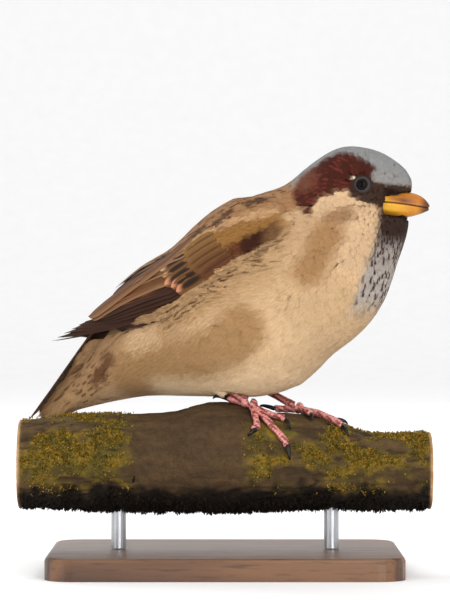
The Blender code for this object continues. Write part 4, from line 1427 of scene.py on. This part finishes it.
def tertial_colour(s, lead):
    tint = blend(plain(TERTIAL, s), TERTIAL_PALE, ramp(-lead, 0.2, 0.9) * 0.5)
    heart = (1 - ramp(np.abs(lead - 0.1), 0.1, 0.55)) * (1 - ramp(s, 0.6, 0.95))
    tint = blend(tint, WING_BROWN, heart * 0.55)
    # a dark line at the lower margin: the feather's own dark edge and a painted shadow cast on the next
    # feather
    return blend(tint, WING_BLACK, ramp(lead, 0.76, 0.86) * 0.95)


def covert_colour(tip):
    def colour(s, lead):
        heart = (1 - ramp(np.hypot(lead * 1.1, (s - 0.60) * 2.4), 0.40, 0.85)) * 0.9
        tint = blend(plain(WING_BROWN, s), OLIVE, ramp(np.abs(lead), 0.3, 0.9) * 0.35)
        tint = blend(tint, tip, ramp(s, 0.78, 0.93) * (1 - ramp(np.abs(lead - 0.2), 0.3, 0.9)) * 0.9)
        return blend(tint, WING_BLACK, heart)

    return colour


def median_colour(dark):
    def colour(s, lead):
        tint = blend(plain(OLIVE, s), WING_RED, np.full(s.shape, dark))
        streak = (1 - ramp(np.abs(lead), 0.05, 0.4)) * (1 - ramp(s, 0.82, 0.95))
        return blend(tint, WING_DARK, streak * 0.65)

    return colour


COVERT_ROWS = (
    (GREATER, [covert_colour(tip) for tip in GREATER_TIPS], GREATER_HALF, GREATER_DEPTHS),
    (MEDIAN, [median_colour(i / len(MEDIAN)) for i in range(len(MEDIAN))], MEDIAN_HALF, MEDIAN_DEPTHS),
)


def depth_of(depths, i):
    first, less = depths
    return first - less * i


def make_wing(side):
    """One wing. Depths under the form put each row of feathers over the last."""
    sign = 1 if side == "left" else -1
    random = np.random.default_rng(71)
    wing = Vanes()
    lead = sign  # the leading edge of a folded wing is its lower one
    top = LEFT_UNDER_RIGHT if side == "left" else 0.0
    for i, controls in enumerate(PRIMARIES):
        line, normals = on_wing(controls, sign, depth_of(PRIMARY_DEPTHS, i))
        half = PRIMARY_HALF if i else FIRST_PRIMARY_HALF
        wing.add(line, normals, half, 0.55, "point", primary_colour, 0.05, lead)
    for i, controls in enumerate(SECONDARIES):
        line, normals = on_wing(controls, sign, depth_of(SECONDARY_DEPTHS, i))
        wing.add(line, normals, SECONDARY_HALF, 0.62, "round", secondary_colour, 0.05, lead)
    for i, (controls, half) in enumerate(TERTIALS):
        line, normals = on_wing(controls, sign, depth_of(TERTIAL_DEPTHS, i) + top * (i > 0))
        wing.add(line, normals, half, 0.8, "round", tertial_colour, 0.06, lead)
    line, normals = on_wing(RIDGE_TERTIAL, sign, top, RIDGE_EXACT)
    wing.add(line, normals, RIDGE_HALF, 0.8, "round", tertial_colour, 0.06, lead)
    for rows, colours, half, depths in COVERT_ROWS:
        for i, ((start, end), tint) in enumerate(zip(rows, colours)):
            end = (end[0] + random.normal(0, 0.6), end[1] + random.normal(0, 0.25))
            middle = ((start[0] + end[0]) / 2, (start[1] + end[1]) / 2 + 0.3)
            line, normals = on_wing((start, middle, end), sign, depth_of(depths, i))
            wing.add(line, normals, half * random.uniform(0.9, 1.1), 0.9, "round", tint, 0.06, lead)
    solids = (f"wing_{side}_coverts", f"wing_{side}_flight")
    return wing.finish(f"wing_{side}_feathers", "flight_brown", solids)


for side in ("right", "left"):
    piece = make_wing(side)
    print(piece.name, len(piece.data.polygons), "faces")

# %% [markdown]
# ## The tail
# Twelve tail feathers lie in a flat closed fan. The middle pair is on top and a little shorter, which gives
# the shallow notch of a sparrow's tail, and each outer pair slides under the last. All are laid flat on the
# tail's own slope and arch a little.

# %% Tail feathers
TAIL_END = np.array([-76.2, 0.0, -7.3])
TAIL_BROWN = linear(104, 66, 40)
TAIL_MIDDLE = linear(134, 86, 50)
TAIL_HALF = 2.35
TAIL_CURL = 0.18
TAIL_EDGE = linear(170, 128, 90)


def tail_colour(s, lead):
    tint = blend(plain(TAIL_BROWN, s), TAIL_MIDDLE, (1 - ramp(np.abs(lead), 0.1, 0.5)) * 0.5)
    tint = blend(tint, WING_DARK, ramp(np.abs(lead), 0.35, 0.7) * 0.5)
    return blend(tint, TAIL_EDGE, ramp(lead, 0.74, 0.9) * 0.9)


def make_tail():
    tail = Vanes()
    ahead = unit(TAIL_END - TAIL_ROOT)
    up = np.array([ahead[2], 0.0, -ahead[0]])
    s = np.linspace(0, 1, ROWS)[:, None]
    for i in reversed(range(6)):  # 0 is the middle pair
        for sign in (-1, 1):
            start = TAIL_ROOT - ahead * 6.0 + np.array([0.0, sign * (0.5 + 0.45 * i), 0.0])
            end = TAIL_END - ahead * (2.6 - 0.42 * i) + np.array([0.0, sign * (0.9 + 0.86 * i), 0.0])
            rise = 1.35 * (1 - s) + 0.42 * s - 0.16 * i + 0.16 * np.sin(np.pi * s)
            if sign > 0:
                rise = rise - 0.02  # the left feather of a pair lies under the right one
            line = start * (1 - s) + end * s + up * rise
            normals = unit(np.broadcast_to(up, line.shape) + np.array([0.0, sign * 0.05 * i, 0.0]))
            tail.add(line, normals, TAIL_HALF, 0.75, "round", tail_colour, TAIL_CURL, sign, False)
    return tail.finish("tail_feathers", "tail_brown", ("tail",))


piece = make_tail()
print(piece.name, len(piece.data.polygons), "faces")

# %% [markdown]
# ## The bill
# A sparrow's bill is a short thick cone in two halves that meet in a gently bent line. Copies of its two
# solids are remeshed finely and smoothed, and swelled just enough to close the gap between them. Two shallow
# nostrils are pressed in at the base. The colour runs from yellow at the base to orange, with a brown cloud
# over the middle of the upper half, a dark line along the gape and a dark tip.

# %% Bill
HORN_YELLOW = linear(226, 170, 50)
HORN_ORANGE = linear(176, 104, 32)
HORN_BROWN = linear(104, 50, 26)
HORN_TIP = linear(72, 42, 26)
GAPE_LINE = linear(92, 44, 26)
NOSTRIL = (2.7, 1.9)  # along the bill and over its gape line
NOSTRIL_SIZE = (0.9, 0.5)
NOSTRIL_DEPTH = 0.35
NOSTRIL_ASIDE = 1.5  # a nostril is only this far or farther from the middle
GAPE_DROP = 0.8  # how far the gape line falls towards the base


def make_bill(half):
    piece = copy_of(f"bill_{half}", f"bill_{half}_horn")
    apply_modifier(piece, "REMESH", mode="VOXEL", voxel_size=0.2 * MM)
    apply_modifier(piece, "SMOOTH", factor=0.5, iterations=14)
    apply_modifier(piece, "DISPLACE", strength=0.17 * MM, mid_level=0.0)
    points, normals = corners(piece.data), point_normals(piece.data)
    along, side, over = bill_frame(points).T
    high = over + GAPE_DROP * np.clip(1 - along / 11.0, 0, 1) ** 2
    tint = blend(plain(HORN_YELLOW, along), HORN_ORANGE, ramp(along, 3.0, 12.0) * 0.75)
    if half == "upper":
        pit = np.hypot((along - NOSTRIL[0]) / NOSTRIL_SIZE[0], (over - NOSTRIL[1]) / NOSTRIL_SIZE[1])
        aside = np.abs(side) > NOSTRIL_ASIDE
        points = points - normals * (NOSTRIL_DEPTH * (1 - ramp(pit, 0.4, 1.2)) * aside)[:, None]
        tint = blend(tint, HORN_ORANGE, ramp(high, 0.1, 1.2) * ramp(along, 1.5, 5.0) * 0.85)
        middle = np.exp(-(((along - 8.5) / 3.2) ** 2) - (high - 1.0) ** 2)
        tint = blend(tint, HORN_BROWN, middle * 0.95)
        # painted shade: the middle of each nostril is painted dark, for its opening
        tint = blend(tint, HORN_TIP, (1 - ramp(pit, 0.3, 0.9)) * aside * 0.8)
    else:
        tint = blend(tint, HORN_ORANGE, ramp(-high, 2.2, 3.8) * 0.5)
    tint = blend(tint, GAPE_LINE, (1 - ramp(np.abs(high), 0.12, 0.42)) * ramp(along, 0.5, 3.0) * 0.9)
    tint = blend(tint, HORN_TIP, ramp(along, 12.4, 15.2) * 0.9)
    set_corners(piece.data, points)
    coloured(piece.data, "horn", tint, horn)
    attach(piece, "root")
    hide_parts(f"bill_{half}")
    return piece


def horn_material(name, roughness, coat, specular=0.5):
    """A hard skin such as horn, scutes or a cornea, in the colour stored as horn."""
    made, tree, shader = new_material(name)
    grain = noise_value(tree, own_place(tree), 2500.0, 3.0)
    feed(tree, shader, Base_Color=stored_colour(tree, "horn", 400.0, 3000.0, 0.35))
    add_bump(tree, shader, grain, 0.12, 0.0002)
    add_uneven_gloss(tree, shader, grain, roughness - 0.08, roughness + 0.1)
    shader.inputs["Coat Weight"].default_value = coat
    shader.inputs["Coat Roughness"].default_value = 0.25
    shader.inputs["Specular IOR Level"].default_value = specular
    return made


horn = horn_material("bill_horn", 0.42, 0.05, 0.25)
for half in ("upper", "lower"):
    print(make_bill(half).name)

# %% [markdown]
# ## The eyes
# The eye of a small bird is nearly all dark iris and pupil under a clear bulging cornea, so it is one glossy
# ball with a brown-black iris ring, and the front is drawn out a little. It sits behind the lids made before.

# %% Eyes
PUPIL_BLACK = linear(3, 3, 3)
IRIS_BROWN = linear(26, 16, 11)
EYE_RIM = linear(14, 10, 9)
CORNEA_RADIUS = 1.7
CORNEA_BULGE = 0.10


def make_eye(side):
    bpy.ops.object.select_all(action="DESELECT")
    bpy.ops.mesh.primitive_uv_sphere_add(segments=48, ring_count=32, radius=EYE_RADIUS * MM)
    piece = bpy.context.object
    piece.name = f"eyeball_{side}"
    aim = Vector(turn_about_z(eye_axes[side], BIRD_YAW)).to_track_quat("Z", "Y").to_matrix().to_4x4()
    piece.data.transform(Matrix.Translation(to_world(eyes[side])) @ aim)
    points = corners(piece.data)
    across, height = about_eye(points, side)
    front = (height > 0) * np.clip(1 - (across / CORNEA_RADIUS) ** 2, 0, 1)
    set_corners(piece.data, points + front[:, None] * CORNEA_BULGE * eye_axes[side])
    tint = blend(plain(PUPIL_BLACK, across), IRIS_BROWN, ramp(across, 1.0, 1.25))
    coloured(piece.data, "horn", blend(tint, EYE_RIM, ramp(across, 1.6, 1.9)), eye_finish)
    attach(piece, "root")
    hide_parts(f"eye_{side}")
    return piece


eye_finish = horn_material("eye_gloss", 0.09, 0.0, 0.08)
for side in eyes:
    print(make_eye(side).name)

# %% [markdown]
# ## Legs, feet and claws
# The bare leg and toes are covered in overlapping scutes, plates that ring the front of the leg and the top
# of each toe. The solids of leg and foot, with a ball at the ankle and at each toe's end, are joined by a
# fine remesh. Then small steps, repeated with the distance from the ankle, raise the plates, and the seams
# between them are painted darker.

# %% Legs and feet
LEG_PINK = linear(224, 146, 138)
LEG_RED = linear(104, 32, 28)
TOES = ("hind", "inner", "middle", "outer")
CLAW_BLACK = linear(8, 6, 6)
TOE_TIP = 0.98  # radius of the ball at a toe's end
TOE_END_BACK = 0.45  # how far that ball is drawn back towards the ankle
ANKLE_BALL = 1.5
SCUTE_PITCH = 1.15
SCUTE_RISE = 0.07


def scuted(piece, ankle):
    """Raises the plates of a leg and returns the colours of its skin, with painted shade where it turns
    downward.
    """
    points, normals = corners(piece.data), point_normals(piece.data)
    reach = np.linalg.norm(points - ankle, axis=1)
    step = (reach / SCUTE_PITCH) % 1.0
    rise = SCUTE_RISE * (0.5 - step) * ramp(reach, 1.5, 2.5) * np.clip(normals[:, 2] + 0.9, 0, 1)
    set_corners(piece.data, points + normals * rise[:, None])
    seam = np.exp(-((np.minimum(step, 1 - step) / 0.16) ** 2)) * ramp(reach, 1.2, 2.0)
    x, y, z = points.T
    cloud = np.sin(x * 1.7 + z * 2.3) * np.sin(y * 2.1 + z * 1.1)
    cloud = cloud + 0.7 * np.sin(x * 3.1 - y * 2.6) * np.sin(z * 3.7 + y * 1.9)
    shin = ramp(z - ankle[2], 0.5, 3.0)
    red = 0.12 + 0.25 * shin + ramp(cloud, 0.05 - 0.35 * shin, 0.35) * (0.75 - 0.15 * shin)
    tint = blend(plain(LEG_PINK, reach), LEG_RED, red)
    tint = blend(tint, LEG_RED, seam * 0.4)
    # painted shade: faces that turn downward are painted redder and darker
    return blend(tint, LEG_RED, (1 - ramp(normals[:, 2], -0.5, 0.1)) * 0.5)


def make_leg(side):
    names = (f"foot_{side}", f"leg_{side}_tarsus")
    ankle = ankle_of(side)
    copies = [copy_of(name, f"{name}_copy") for name in names]
    for piece in copies:
        apply_modifier(piece, "DISPLACE", strength=0.3 * MM, mid_level=0.0)
    copies.append(ball(f"ankle_{side}", ankle, [ANKLE_BALL] * 3))
    for toe in TOES:
        copies.append(ball(f"tip_{side}_{toe}", toe_end(side, toe), [TOE_TIP] * 3))
    piece = joined(copies, f"leg_{side}_skin")
    apply_modifier(piece, "REMESH", mode="VOXEL", voxel_size=0.16 * MM)
    apply_modifier(piece, "SMOOTH", factor=0.5, iterations=6)
    apply_modifier(piece, "DISPLACE", strength=-0.1 * MM, mid_level=0.0)
    coloured(piece.data, "horn", scuted(piece, ankle), leg_finish)
    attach(piece, "root")
    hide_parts(*names)
    return piece


def toe_end(side, toe):
    """Where a claw's solid starts, drawn back a little towards the ankle."""
    ankle = ankle_of(side)
    points = corners(bpy.data.objects[f"claw_{side}_{toe}"].data)
    reach = np.linalg.norm(points - ankle, axis=1)
    start = points[reach < reach.min() + 0.35].mean(axis=0)
    return start + unit(ankle - start) * TOE_END_BACK


def ankle_of(side):
    """The ankle is where the lower leg's solid meets the foot's: its lowest place."""
    points = corners(bpy.data.objects[f"leg_{side}_tarsus"].data)
    lowest = points[points[:, 2] < points[:, 2].min() + 0.8]
    return lowest.mean(axis=0)


def make_claws(side):
    names = [f"claw_{side}_{toe}" for toe in TOES]
    piece = joined([copy_of(name, f"{name}_copy") for name in names], f"claws_{side}")
    apply_modifier(piece, "DISPLACE", strength=0.24 * MM, mid_level=0.0)
    apply_modifier(piece, "REMESH", mode="VOXEL", voxel_size=0.1 * MM)
    apply_modifier(piece, "SMOOTH", factor=0.5, iterations=8)
    coloured(piece.data, "horn", CLAW_BLACK, claw_finish)
    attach(piece, "root")
    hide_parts(*names)
    return piece


leg_finish = horn_material("leg_scutes", 0.5, 0.1)
claw_finish = horn_material("claw_horn", 0.32, 0.0, 0.35)
for side in ("left", "right"):
    print(make_leg(side).name, make_claws(side).name)

# %% [markdown]
# ## The branch
# The perch is a short cut length of old branch: rough brown bark that is smooth and bare in the middle, grown
# over with golden moss at both ends, and ragged underneath, where it is painted near black as shade. A copy of
# the solid is remeshed and its points are pushed in by a layered noise that is stretched along the branch, as
# bark fissures are. Under the feet it is left nearly as it was, so the toes still rest on it. The sawn ends
# get faint rings.

# %% Noise
def noise(points, seed):
    """Smooth random values from 0 to 1 on a grid of unit cells."""
    base = np.floor(points).astype(np.int64)
    part = points - base
    part = part * part * (3 - 2 * part)
    total = np.zeros(points.shape[:-1])
    for corner in np.ndindex(2, 2, 2):
        x, y, z = np.moveaxis(base + corner, -1, 0)
        mixed = (x * 73856093) ^ (y * 19349663) ^ (z * 83492791) ^ (seed * 2654435)
        mixed = (mixed ^ (mixed >> 13)) * 1274126177 & 0x7FFFFFFF
        weight = np.ones(points.shape[:-1])
        for axis, far in enumerate(corner):
            weight = weight * (part[..., axis] if far else 1 - part[..., axis])
        total += (mixed % 100003) / 100003 * weight
    return total


def layered(points, seed, rounds=3):
    """Noise with finer and weaker noise laid over it."""
    return sum(noise(points * 2.0**i, seed + i) * 0.5 ** (i + 1) for i in range(rounds)) / (1 - 0.5**rounds)


print("noise between", layered(np.random.default_rng(1).random((500, 3)) * 20, 3).min().round(2), "and 1")

# %% Branch
BARK = linear(84, 65, 40)
BARK_DARK = linear(50, 37, 23)
UNDERSIDE_SHADE_BLACK = linear(16, 12, 9)
MOSS = linear(136, 108, 34)
MOSS_GOLD = linear(160, 124, 40)
MOSS_GREEN = linear(92, 86, 34)
BARK_BARE = linear(72, 54, 36)
WOOD_PALE, WOOD_RING = linear(186, 148, 104), linear(120, 84, 52)
PERCH_AXIS_Z = 34.5
BRANCH_END = 64.6  # from here the sawn face begins
RING_DEPTH = 0.18


def branch_points(mesh):
    """A mesh's points in the world's millimetres, with x along the branch."""
    return vectors_of(mesh.vertices, "co") / MM


def underside_edge(points):
    """How far the height of the edge of the underside's painted shade wanders."""
    return 5.0 * (layered(points / [4.0, 4.0, 6.0], 71, 3) - 0.5) * 2


def moss_share(points):
    """Where moss grows: on the sides and top, away from the bare middle, in long blotches."""
    x, z = points[..., 0], points[..., 2]
    ends = np.maximum(ramp(-x, 27.0, 36.0), ramp(x, 4.0, 14.0))
    blotch = layered(points / [9.0, 4.5, 4.5], 11, 4)
    return ends * ramp(blotch, 0.38, 0.60) * ramp(z, 23.0, 33.0)


def bark_relief(points):
    """How deep the bark is pushed in, and the masks that its colours use again."""
    x, y, z = points.T
    end = ramp(np.abs(x), BRANCH_END, BRANCH_END + 1.0)
    ridged = np.abs(layered(points / [16.0, 3.2, 3.2], 5, 4) - 0.5) * 2
    fissure = 1 - ramp(ridged, 0.0, 0.16)
    lumps = layered(points / [7.0, 5.0, 5.0], 21, 3) - 0.5
    ragged = layered(points / [2.4, 2.4, 2.0], 31, 3) - 0.5
    low = 1 - ramp(z, 22.0, 31.0)
    bare = np.exp(-((np.abs(x + 8.0) / 24.0) ** 4))
    away = np.abs(x - 40.6 - 1.6 * np.sin(z * 0.55) - 0.8 * np.sin(z * 1.4))
    crack = (1 - ramp(away, 0.25, 0.8)) * (y < 0) * ramp(z, 30.0, 34.0) * (1 - ramp(z, 43.0, 46.0))
    depth = 0.55 * fissure * (1 - 0.6 * bare) + 0.5 * (0.5 - lumps) + low * (0.9 * (0.5 - ragged))
    depth = depth + 0.7 * crack
    ring = np.hypot(y, z - PERCH_AXIS_Z)
    rings = RING_DEPTH * (0.5 + 0.5 * np.sin(ring * 3.4 + 3 * layered(points / 6.0, 41, 2)))
    feet = np.exp(-(((x - 18.0) / 15.0) ** 4)) * np.exp(-(((y + 4.0) / 15.0) ** 4)) * (z > 34.0)
    depth = depth * (1 - 0.85 * feet) * (1 - end) + rings * end
    return np.clip(depth, 0.0, 2.0), (z, end, fissure, bare, crack, ring, rings)


def bark_colours(points, masks):
    z, end, fissure, bare, crack, ring, rings = masks
    moss = moss_share(points) * (1 - end)
    tint = blend(plain(BARK, z), BARK_DARK, ramp(layered(points / [14, 4, 4], 51, 3), 0.4, 0.7) * 0.7)
    tint = blend(tint, BARK_DARK, fissure * 0.8 * (1 - 0.5 * bare))
    tint = blend(tint, BARK_BARE, bare * 0.6)
    tint = blend(tint, MOSS_GREEN, moss * 0.75)
    tint = blend(tint, MOSS, moss * ramp(layered(points / [5, 3, 3], 61, 3), 0.4, 0.6) * 0.8)
    # painted shade: the underside of the branch is painted near black, below a wandering edge
    edge = 27.5 + underside_edge(points)
    tint = blend(tint, UNDERSIDE_SHADE_BLACK, (1 - ramp(z, edge - 2.5, edge + 1.5)) * 0.92)
    tint = blend(tint, MOSS_GOLD, crack * 0.8)
    wood = blend(plain(WOOD_PALE, z), WOOD_RING, rings / RING_DEPTH * 0.6)
    return blend(tint, wood, end * (1 - ramp(ring, 14.0, 15.5)))


def make_branch():
    piece = copy_of("perch_branch", "branch")
    apply_modifier(piece, "REMESH", mode="VOXEL", voxel_size=0.62 * MM)
    apply_modifier(piece, "SMOOTH", factor=0.5, iterations=4)
    points = branch_points(piece.data)
    depth, masks = bark_relief(points)
    points = points - vectors_of(piece.data.vertex_normals, "vector") * depth[:, None]
    piece.data.vertices.foreach_set("co", (points * MM).astype(np.float32).ravel())
    piece.data.update()
    coloured(piece.data, "bark", bark_colours(points, masks), bark_finish)
    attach(piece, "root")
    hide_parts("perch_branch")
    return piece


def bark_material():
    made, tree, shader = new_material("mossy_bark")
    feed(tree, shader, Base_Color=stored_colour(tree, "bark", 500.0, 2400.0, 0.9), Roughness=0.92)
    grain = noise_value(tree, own_place(tree, (0.35, 1.0, 1.0)), 1300.0, 5.0, Roughness=0.65)
    add_bump(tree, shader, grain, 0.55, 0.0006)
    shader.inputs["Specular IOR Level"].default_value = 0.2
    return made


bark_finish = bark_material()
branch = make_branch()
print("branch:", len(branch.data.polygons), "faces")

# %% [markdown]
# Real moss is a pile of tiny leaves. Thousands of tufts of three short leaves stand where the moss mask is
# strong, leaning at random, and give the soft ragged cover that paint alone would not. The same leaves,
# darker, near black and longer, hang under the branch as a ragged painted shade along its underside.

# %% Moss
LEAVES = 3  # in a tuft
LEAF_FACES = ((0, 1, 2), (0, 2, 3), (3, 2, 4))
BRANCH_BOX = (65.9, 17.6, 60.0)  # how far to each side, how low and how high the tufts may reach


def leaf(start, rise, across, reach, wide):
    """The five points of a leaf: two at its foot, two at its middle and its tip."""
    foot = [start - across * wide / 2, start + across * wide / 2]
    middle = [start + rise * reach * 0.55 + across * wide * 0.6]
    middle.append(start + rise * reach * 0.5 - across * wide * 0.6)
    return [*foot, *middle, start + rise * reach]


def make_tufts(name, mask, count, long, wide, colours, seed, fall=0.0):
    """Tufts thrown on the branch where a mask is strong. fall bends their leaves down."""
    random = np.random.default_rng(seed)
    points, normals = branch_points(branch.data), vectors_of(branch.data.vertex_normals, "vector")
    share = mask(points) * (np.abs(points[:, 0]) < BRANCH_END)
    picked = random.choice(len(points), count, p=share / share.sum())
    vertices, faces, tints = [], [], []
    for place, normal in zip(points[picked], normals[picked]):
        shade = random.uniform(0.86, 1.12)
        base = colours[random.integers(len(colours))]
        for _ in range(LEAVES):
            rise = unit(normal * 0.8 + random.normal(0, 0.55, 3) + np.array([0.0, 0.0, fall]))
            across = unit(np.cross(rise, random.normal(0, 1, 3)))
            reach = long * random.uniform(0.6, 1.3)
            start = place + random.normal(0, 0.25, 3) - normal * 0.15
            faces += [[len(vertices) + corner for corner in face] for face in LEAF_FACES]
            vertices += leaf(start, rise, across, reach, wide)
            tints += [base * shade * 0.8] * 2 + [base * shade] * 2 + [base * shade * 1.05]
    vertices = np.array(vertices)
    vertices[:, 0] = np.clip(vertices[:, 0], -BRANCH_BOX[0], BRANCH_BOX[0])
    vertices[:, 2] = np.clip(vertices[:, 2], BRANCH_BOX[1], BRANCH_BOX[2])
    mesh = bpy.data.meshes.new(name)
    mesh.from_pydata((vertices * MM).tolist(), [], faces)
    coloured(mesh, "bark", np.array(tints), bark_finish)
    piece = bpy.data.objects.new(name, mesh)
    bpy.context.scene.collection.objects.link(piece)
    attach(piece, "root")
    return piece


def moss_mask(points):
    x, y, z = points.T
    feet = np.exp(-(((x - 18.0) / 12.0) ** 4)) * (z > 38) * (np.abs(y) < 14)
    return np.clip(moss_share(points) ** 1.5 * (1 - feet), 0, 1) + 1e-9


def under_mask(points):
    edge = 25.0 + underside_edge(points)
    return (1 - ramp(points[:, 2], edge - 2.0, edge + 2.0)) + 1e-9


MOSS_SHADES = (MOSS, MOSS_GOLD, MOSS_GREEN, MOSS)
UNDERSIDE_SHADE_COLOURS = (UNDERSIDE_SHADE_BLACK, UNDERSIDE_SHADE_BLACK * 1.8, BARK_DARK * 0.6)
moss = make_tufts("moss", moss_mask, 9000, 0.8, 0.35, MOSS_SHADES, 5)
# painted shade: near-black tufts hang where the underside of the branch lies in shade
underside_tufts = make_tufts("underside_shade_tufts", under_mask, 4500, 1.1, 0.4, UNDERSIDE_SHADE_COLOURS, 6, -0.3)
print("moss:", len(moss.data.polygons), "triangles, underside:", len(underside_tufts.data.polygons))

# %% [markdown]
# Two broken twigs stand out near the lower edge of the branch. Each is a tapered, slightly crooked stub,
# extruded from a small circle in edit mode, one short length at a time, and then rounded by subdivision.

# %% Twig stubs
TWIGS = ((-29.4, 27.4, 5.0, 0.35), (14.4, 27.6, 5.4, -0.4))  # along, height, length and lean
TWIG_RADIUS = 1.5
TWIG_TAPER = (0.62, 0.8, 0.82, 0.78, 0.6)  # of each length's end, as a share of its start
BRANCH_RADIUS = 15.6
TWIG_SUNK = 1.2


def make_twig(index, x, z, length, lean):
    bpy.ops.object.select_all(action="DESELECT")
    half = math.sqrt(BRANCH_RADIUS**2 - (z - PERCH_AXIS_Z) ** 2)
    start = Vector((x, -half + TWIG_SUNK, z)) * MM
    heading = Vector((lean * 0.5, -0.55, 0.8)).normalized()
    aim = heading.to_track_quat("Z", "Y").to_euler()
    size = {"vertices": 12, "radius": TWIG_RADIUS * MM, "fill_type": "NGON"}
    bpy.ops.mesh.primitive_circle_add(location=start, rotation=aim, **size)
    piece = bpy.context.object
    piece.name = f"twig_stub_{index}"
    bpy.ops.object.transform_apply(location=True, rotation=True)
    bpy.ops.object.mode_set(mode="EDIT")
    bpy.ops.mesh.select_all(action="SELECT")
    middle = start
    for step, share in enumerate(TWIG_TAPER):
        bend = Vector((0.12 * math.sin(step * 2.1 + index), 0.0, 0.0))
        stride = heading * (length / len(TWIG_TAPER) * MM) + bend * MM
        bpy.ops.mesh.extrude_region_move(TRANSFORM_OT_translate={"value": stride})
        middle = middle + stride
        bpy.ops.transform.resize(value=(share, share, share), center_override=middle)
    bpy.ops.object.mode_set(mode="OBJECT")
    apply_modifier(face_outward(piece), "SUBSURF", levels=2, render_levels=2)
    points = branch_points(piece.data)
    # painted shade: the stubs are painted near black, as they stand in the shade under the branch
    tint = blend(plain(BARK_DARK * 0.5, points[:, 0]), UNDERSIDE_SHADE_BLACK, layered(points / 1.2, 81, 2))
    coloured(piece.data, "bark", tint, bark_finish)
    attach(piece, "root")


for index, twig in enumerate(TWIGS):
    make_twig(index, *twig)
print(len(TWIGS), "twig stubs")

# %% [markdown]
# ## The stand
# The stand's base and rods keep their solids and only get finishes: oiled walnut, with rings drawn by a
# distorted wave along the board, and brushed steel, whose fine lines run along each rod.

# %% Stand finishes
WALNUT_SHADES = ((0.35, linear(52, 32, 20)), (0.7, linear(88, 56, 34)), (1.0, linear(116, 78, 48)))
STEEL_SHADES = ((0.3, linear(150, 152, 156)), (0.7, linear(200, 202, 205)))
PAPER_SHADES = ((0.2, (0.90, 0.90, 0.90)), (0.8, (0.93, 0.93, 0.93)))


def walnut_material():
    made, tree, shader = new_material("oiled_walnut")
    place = own_place(tree, (4.0, 42.0, 42.0))
    bands = {"wave_type": "BANDS", "bands_direction": "Y"}
    rings = node(tree, "ShaderNodeTexWave", bands, Vector=place, Scale=1.3, Distortion=5.0, Detail=3.0)
    total = maths(tree, "MULTIPLY_ADD", rings.outputs["Fac"], 0.6, noise_value(tree, place, 1.0, 3.0))
    pores = noise_value(tree, place, 22.0, 4.0)
    spread = {"From_Min": 0.3, "From_Max": 0.45, "To_Min": 0.55, "To_Max": 1.0}
    darker = node(tree, "ShaderNodeMapRange", Value=pores, **spread)
    brown = shades_of(tree, total, WALNUT_SHADES)
    shaded = node(tree, "ShaderNodeHueSaturation", Value=darker.outputs["Result"], Color=brown)
    feed(tree, shader, Base_Color=shaded.outputs["Color"])
    add_uneven_gloss(tree, shader, pores, 0.55, 0.35)
    add_bump(tree, shader, pores, 0.2, 0.0003)
    shader.inputs["Coat Weight"].default_value = 0.15
    shader.inputs["Coat Roughness"].default_value = 0.3
    return made


def steel_material():
    made, tree, shader = new_material("brushed_steel")
    lines = noise_value(tree, own_place(tree, (1.0, 1.0, 0.02)), 9000.0, 2.0)
    feed(tree, shader, Base_Color=shades_of(tree, lines, STEEL_SHADES), Metallic=1.0)
    add_uneven_gloss(tree, shader, lines, 0.25, 0.42)
    return made


walnut, steel = walnut_material(), steel_material()
for label, finish in (("stand_base", walnut), ("stand_rod_1", steel), ("stand_rod_2", steel)):
    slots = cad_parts[label].material_slots
    for slot in slots:
        slot.material = finish
    print(label, "has", len(slots), "finish")


def sheet_material():
    made, tree, shader = new_material("pale_paper")
    fibres = noise_value(tree, own_place(tree), 60.0, 4.0)
    feed(tree, shader, Base_Color=shades_of(tree, fibres, PAPER_SHADES), Roughness=0.9)
    return made


sheet.data.materials.append(sheet_material())
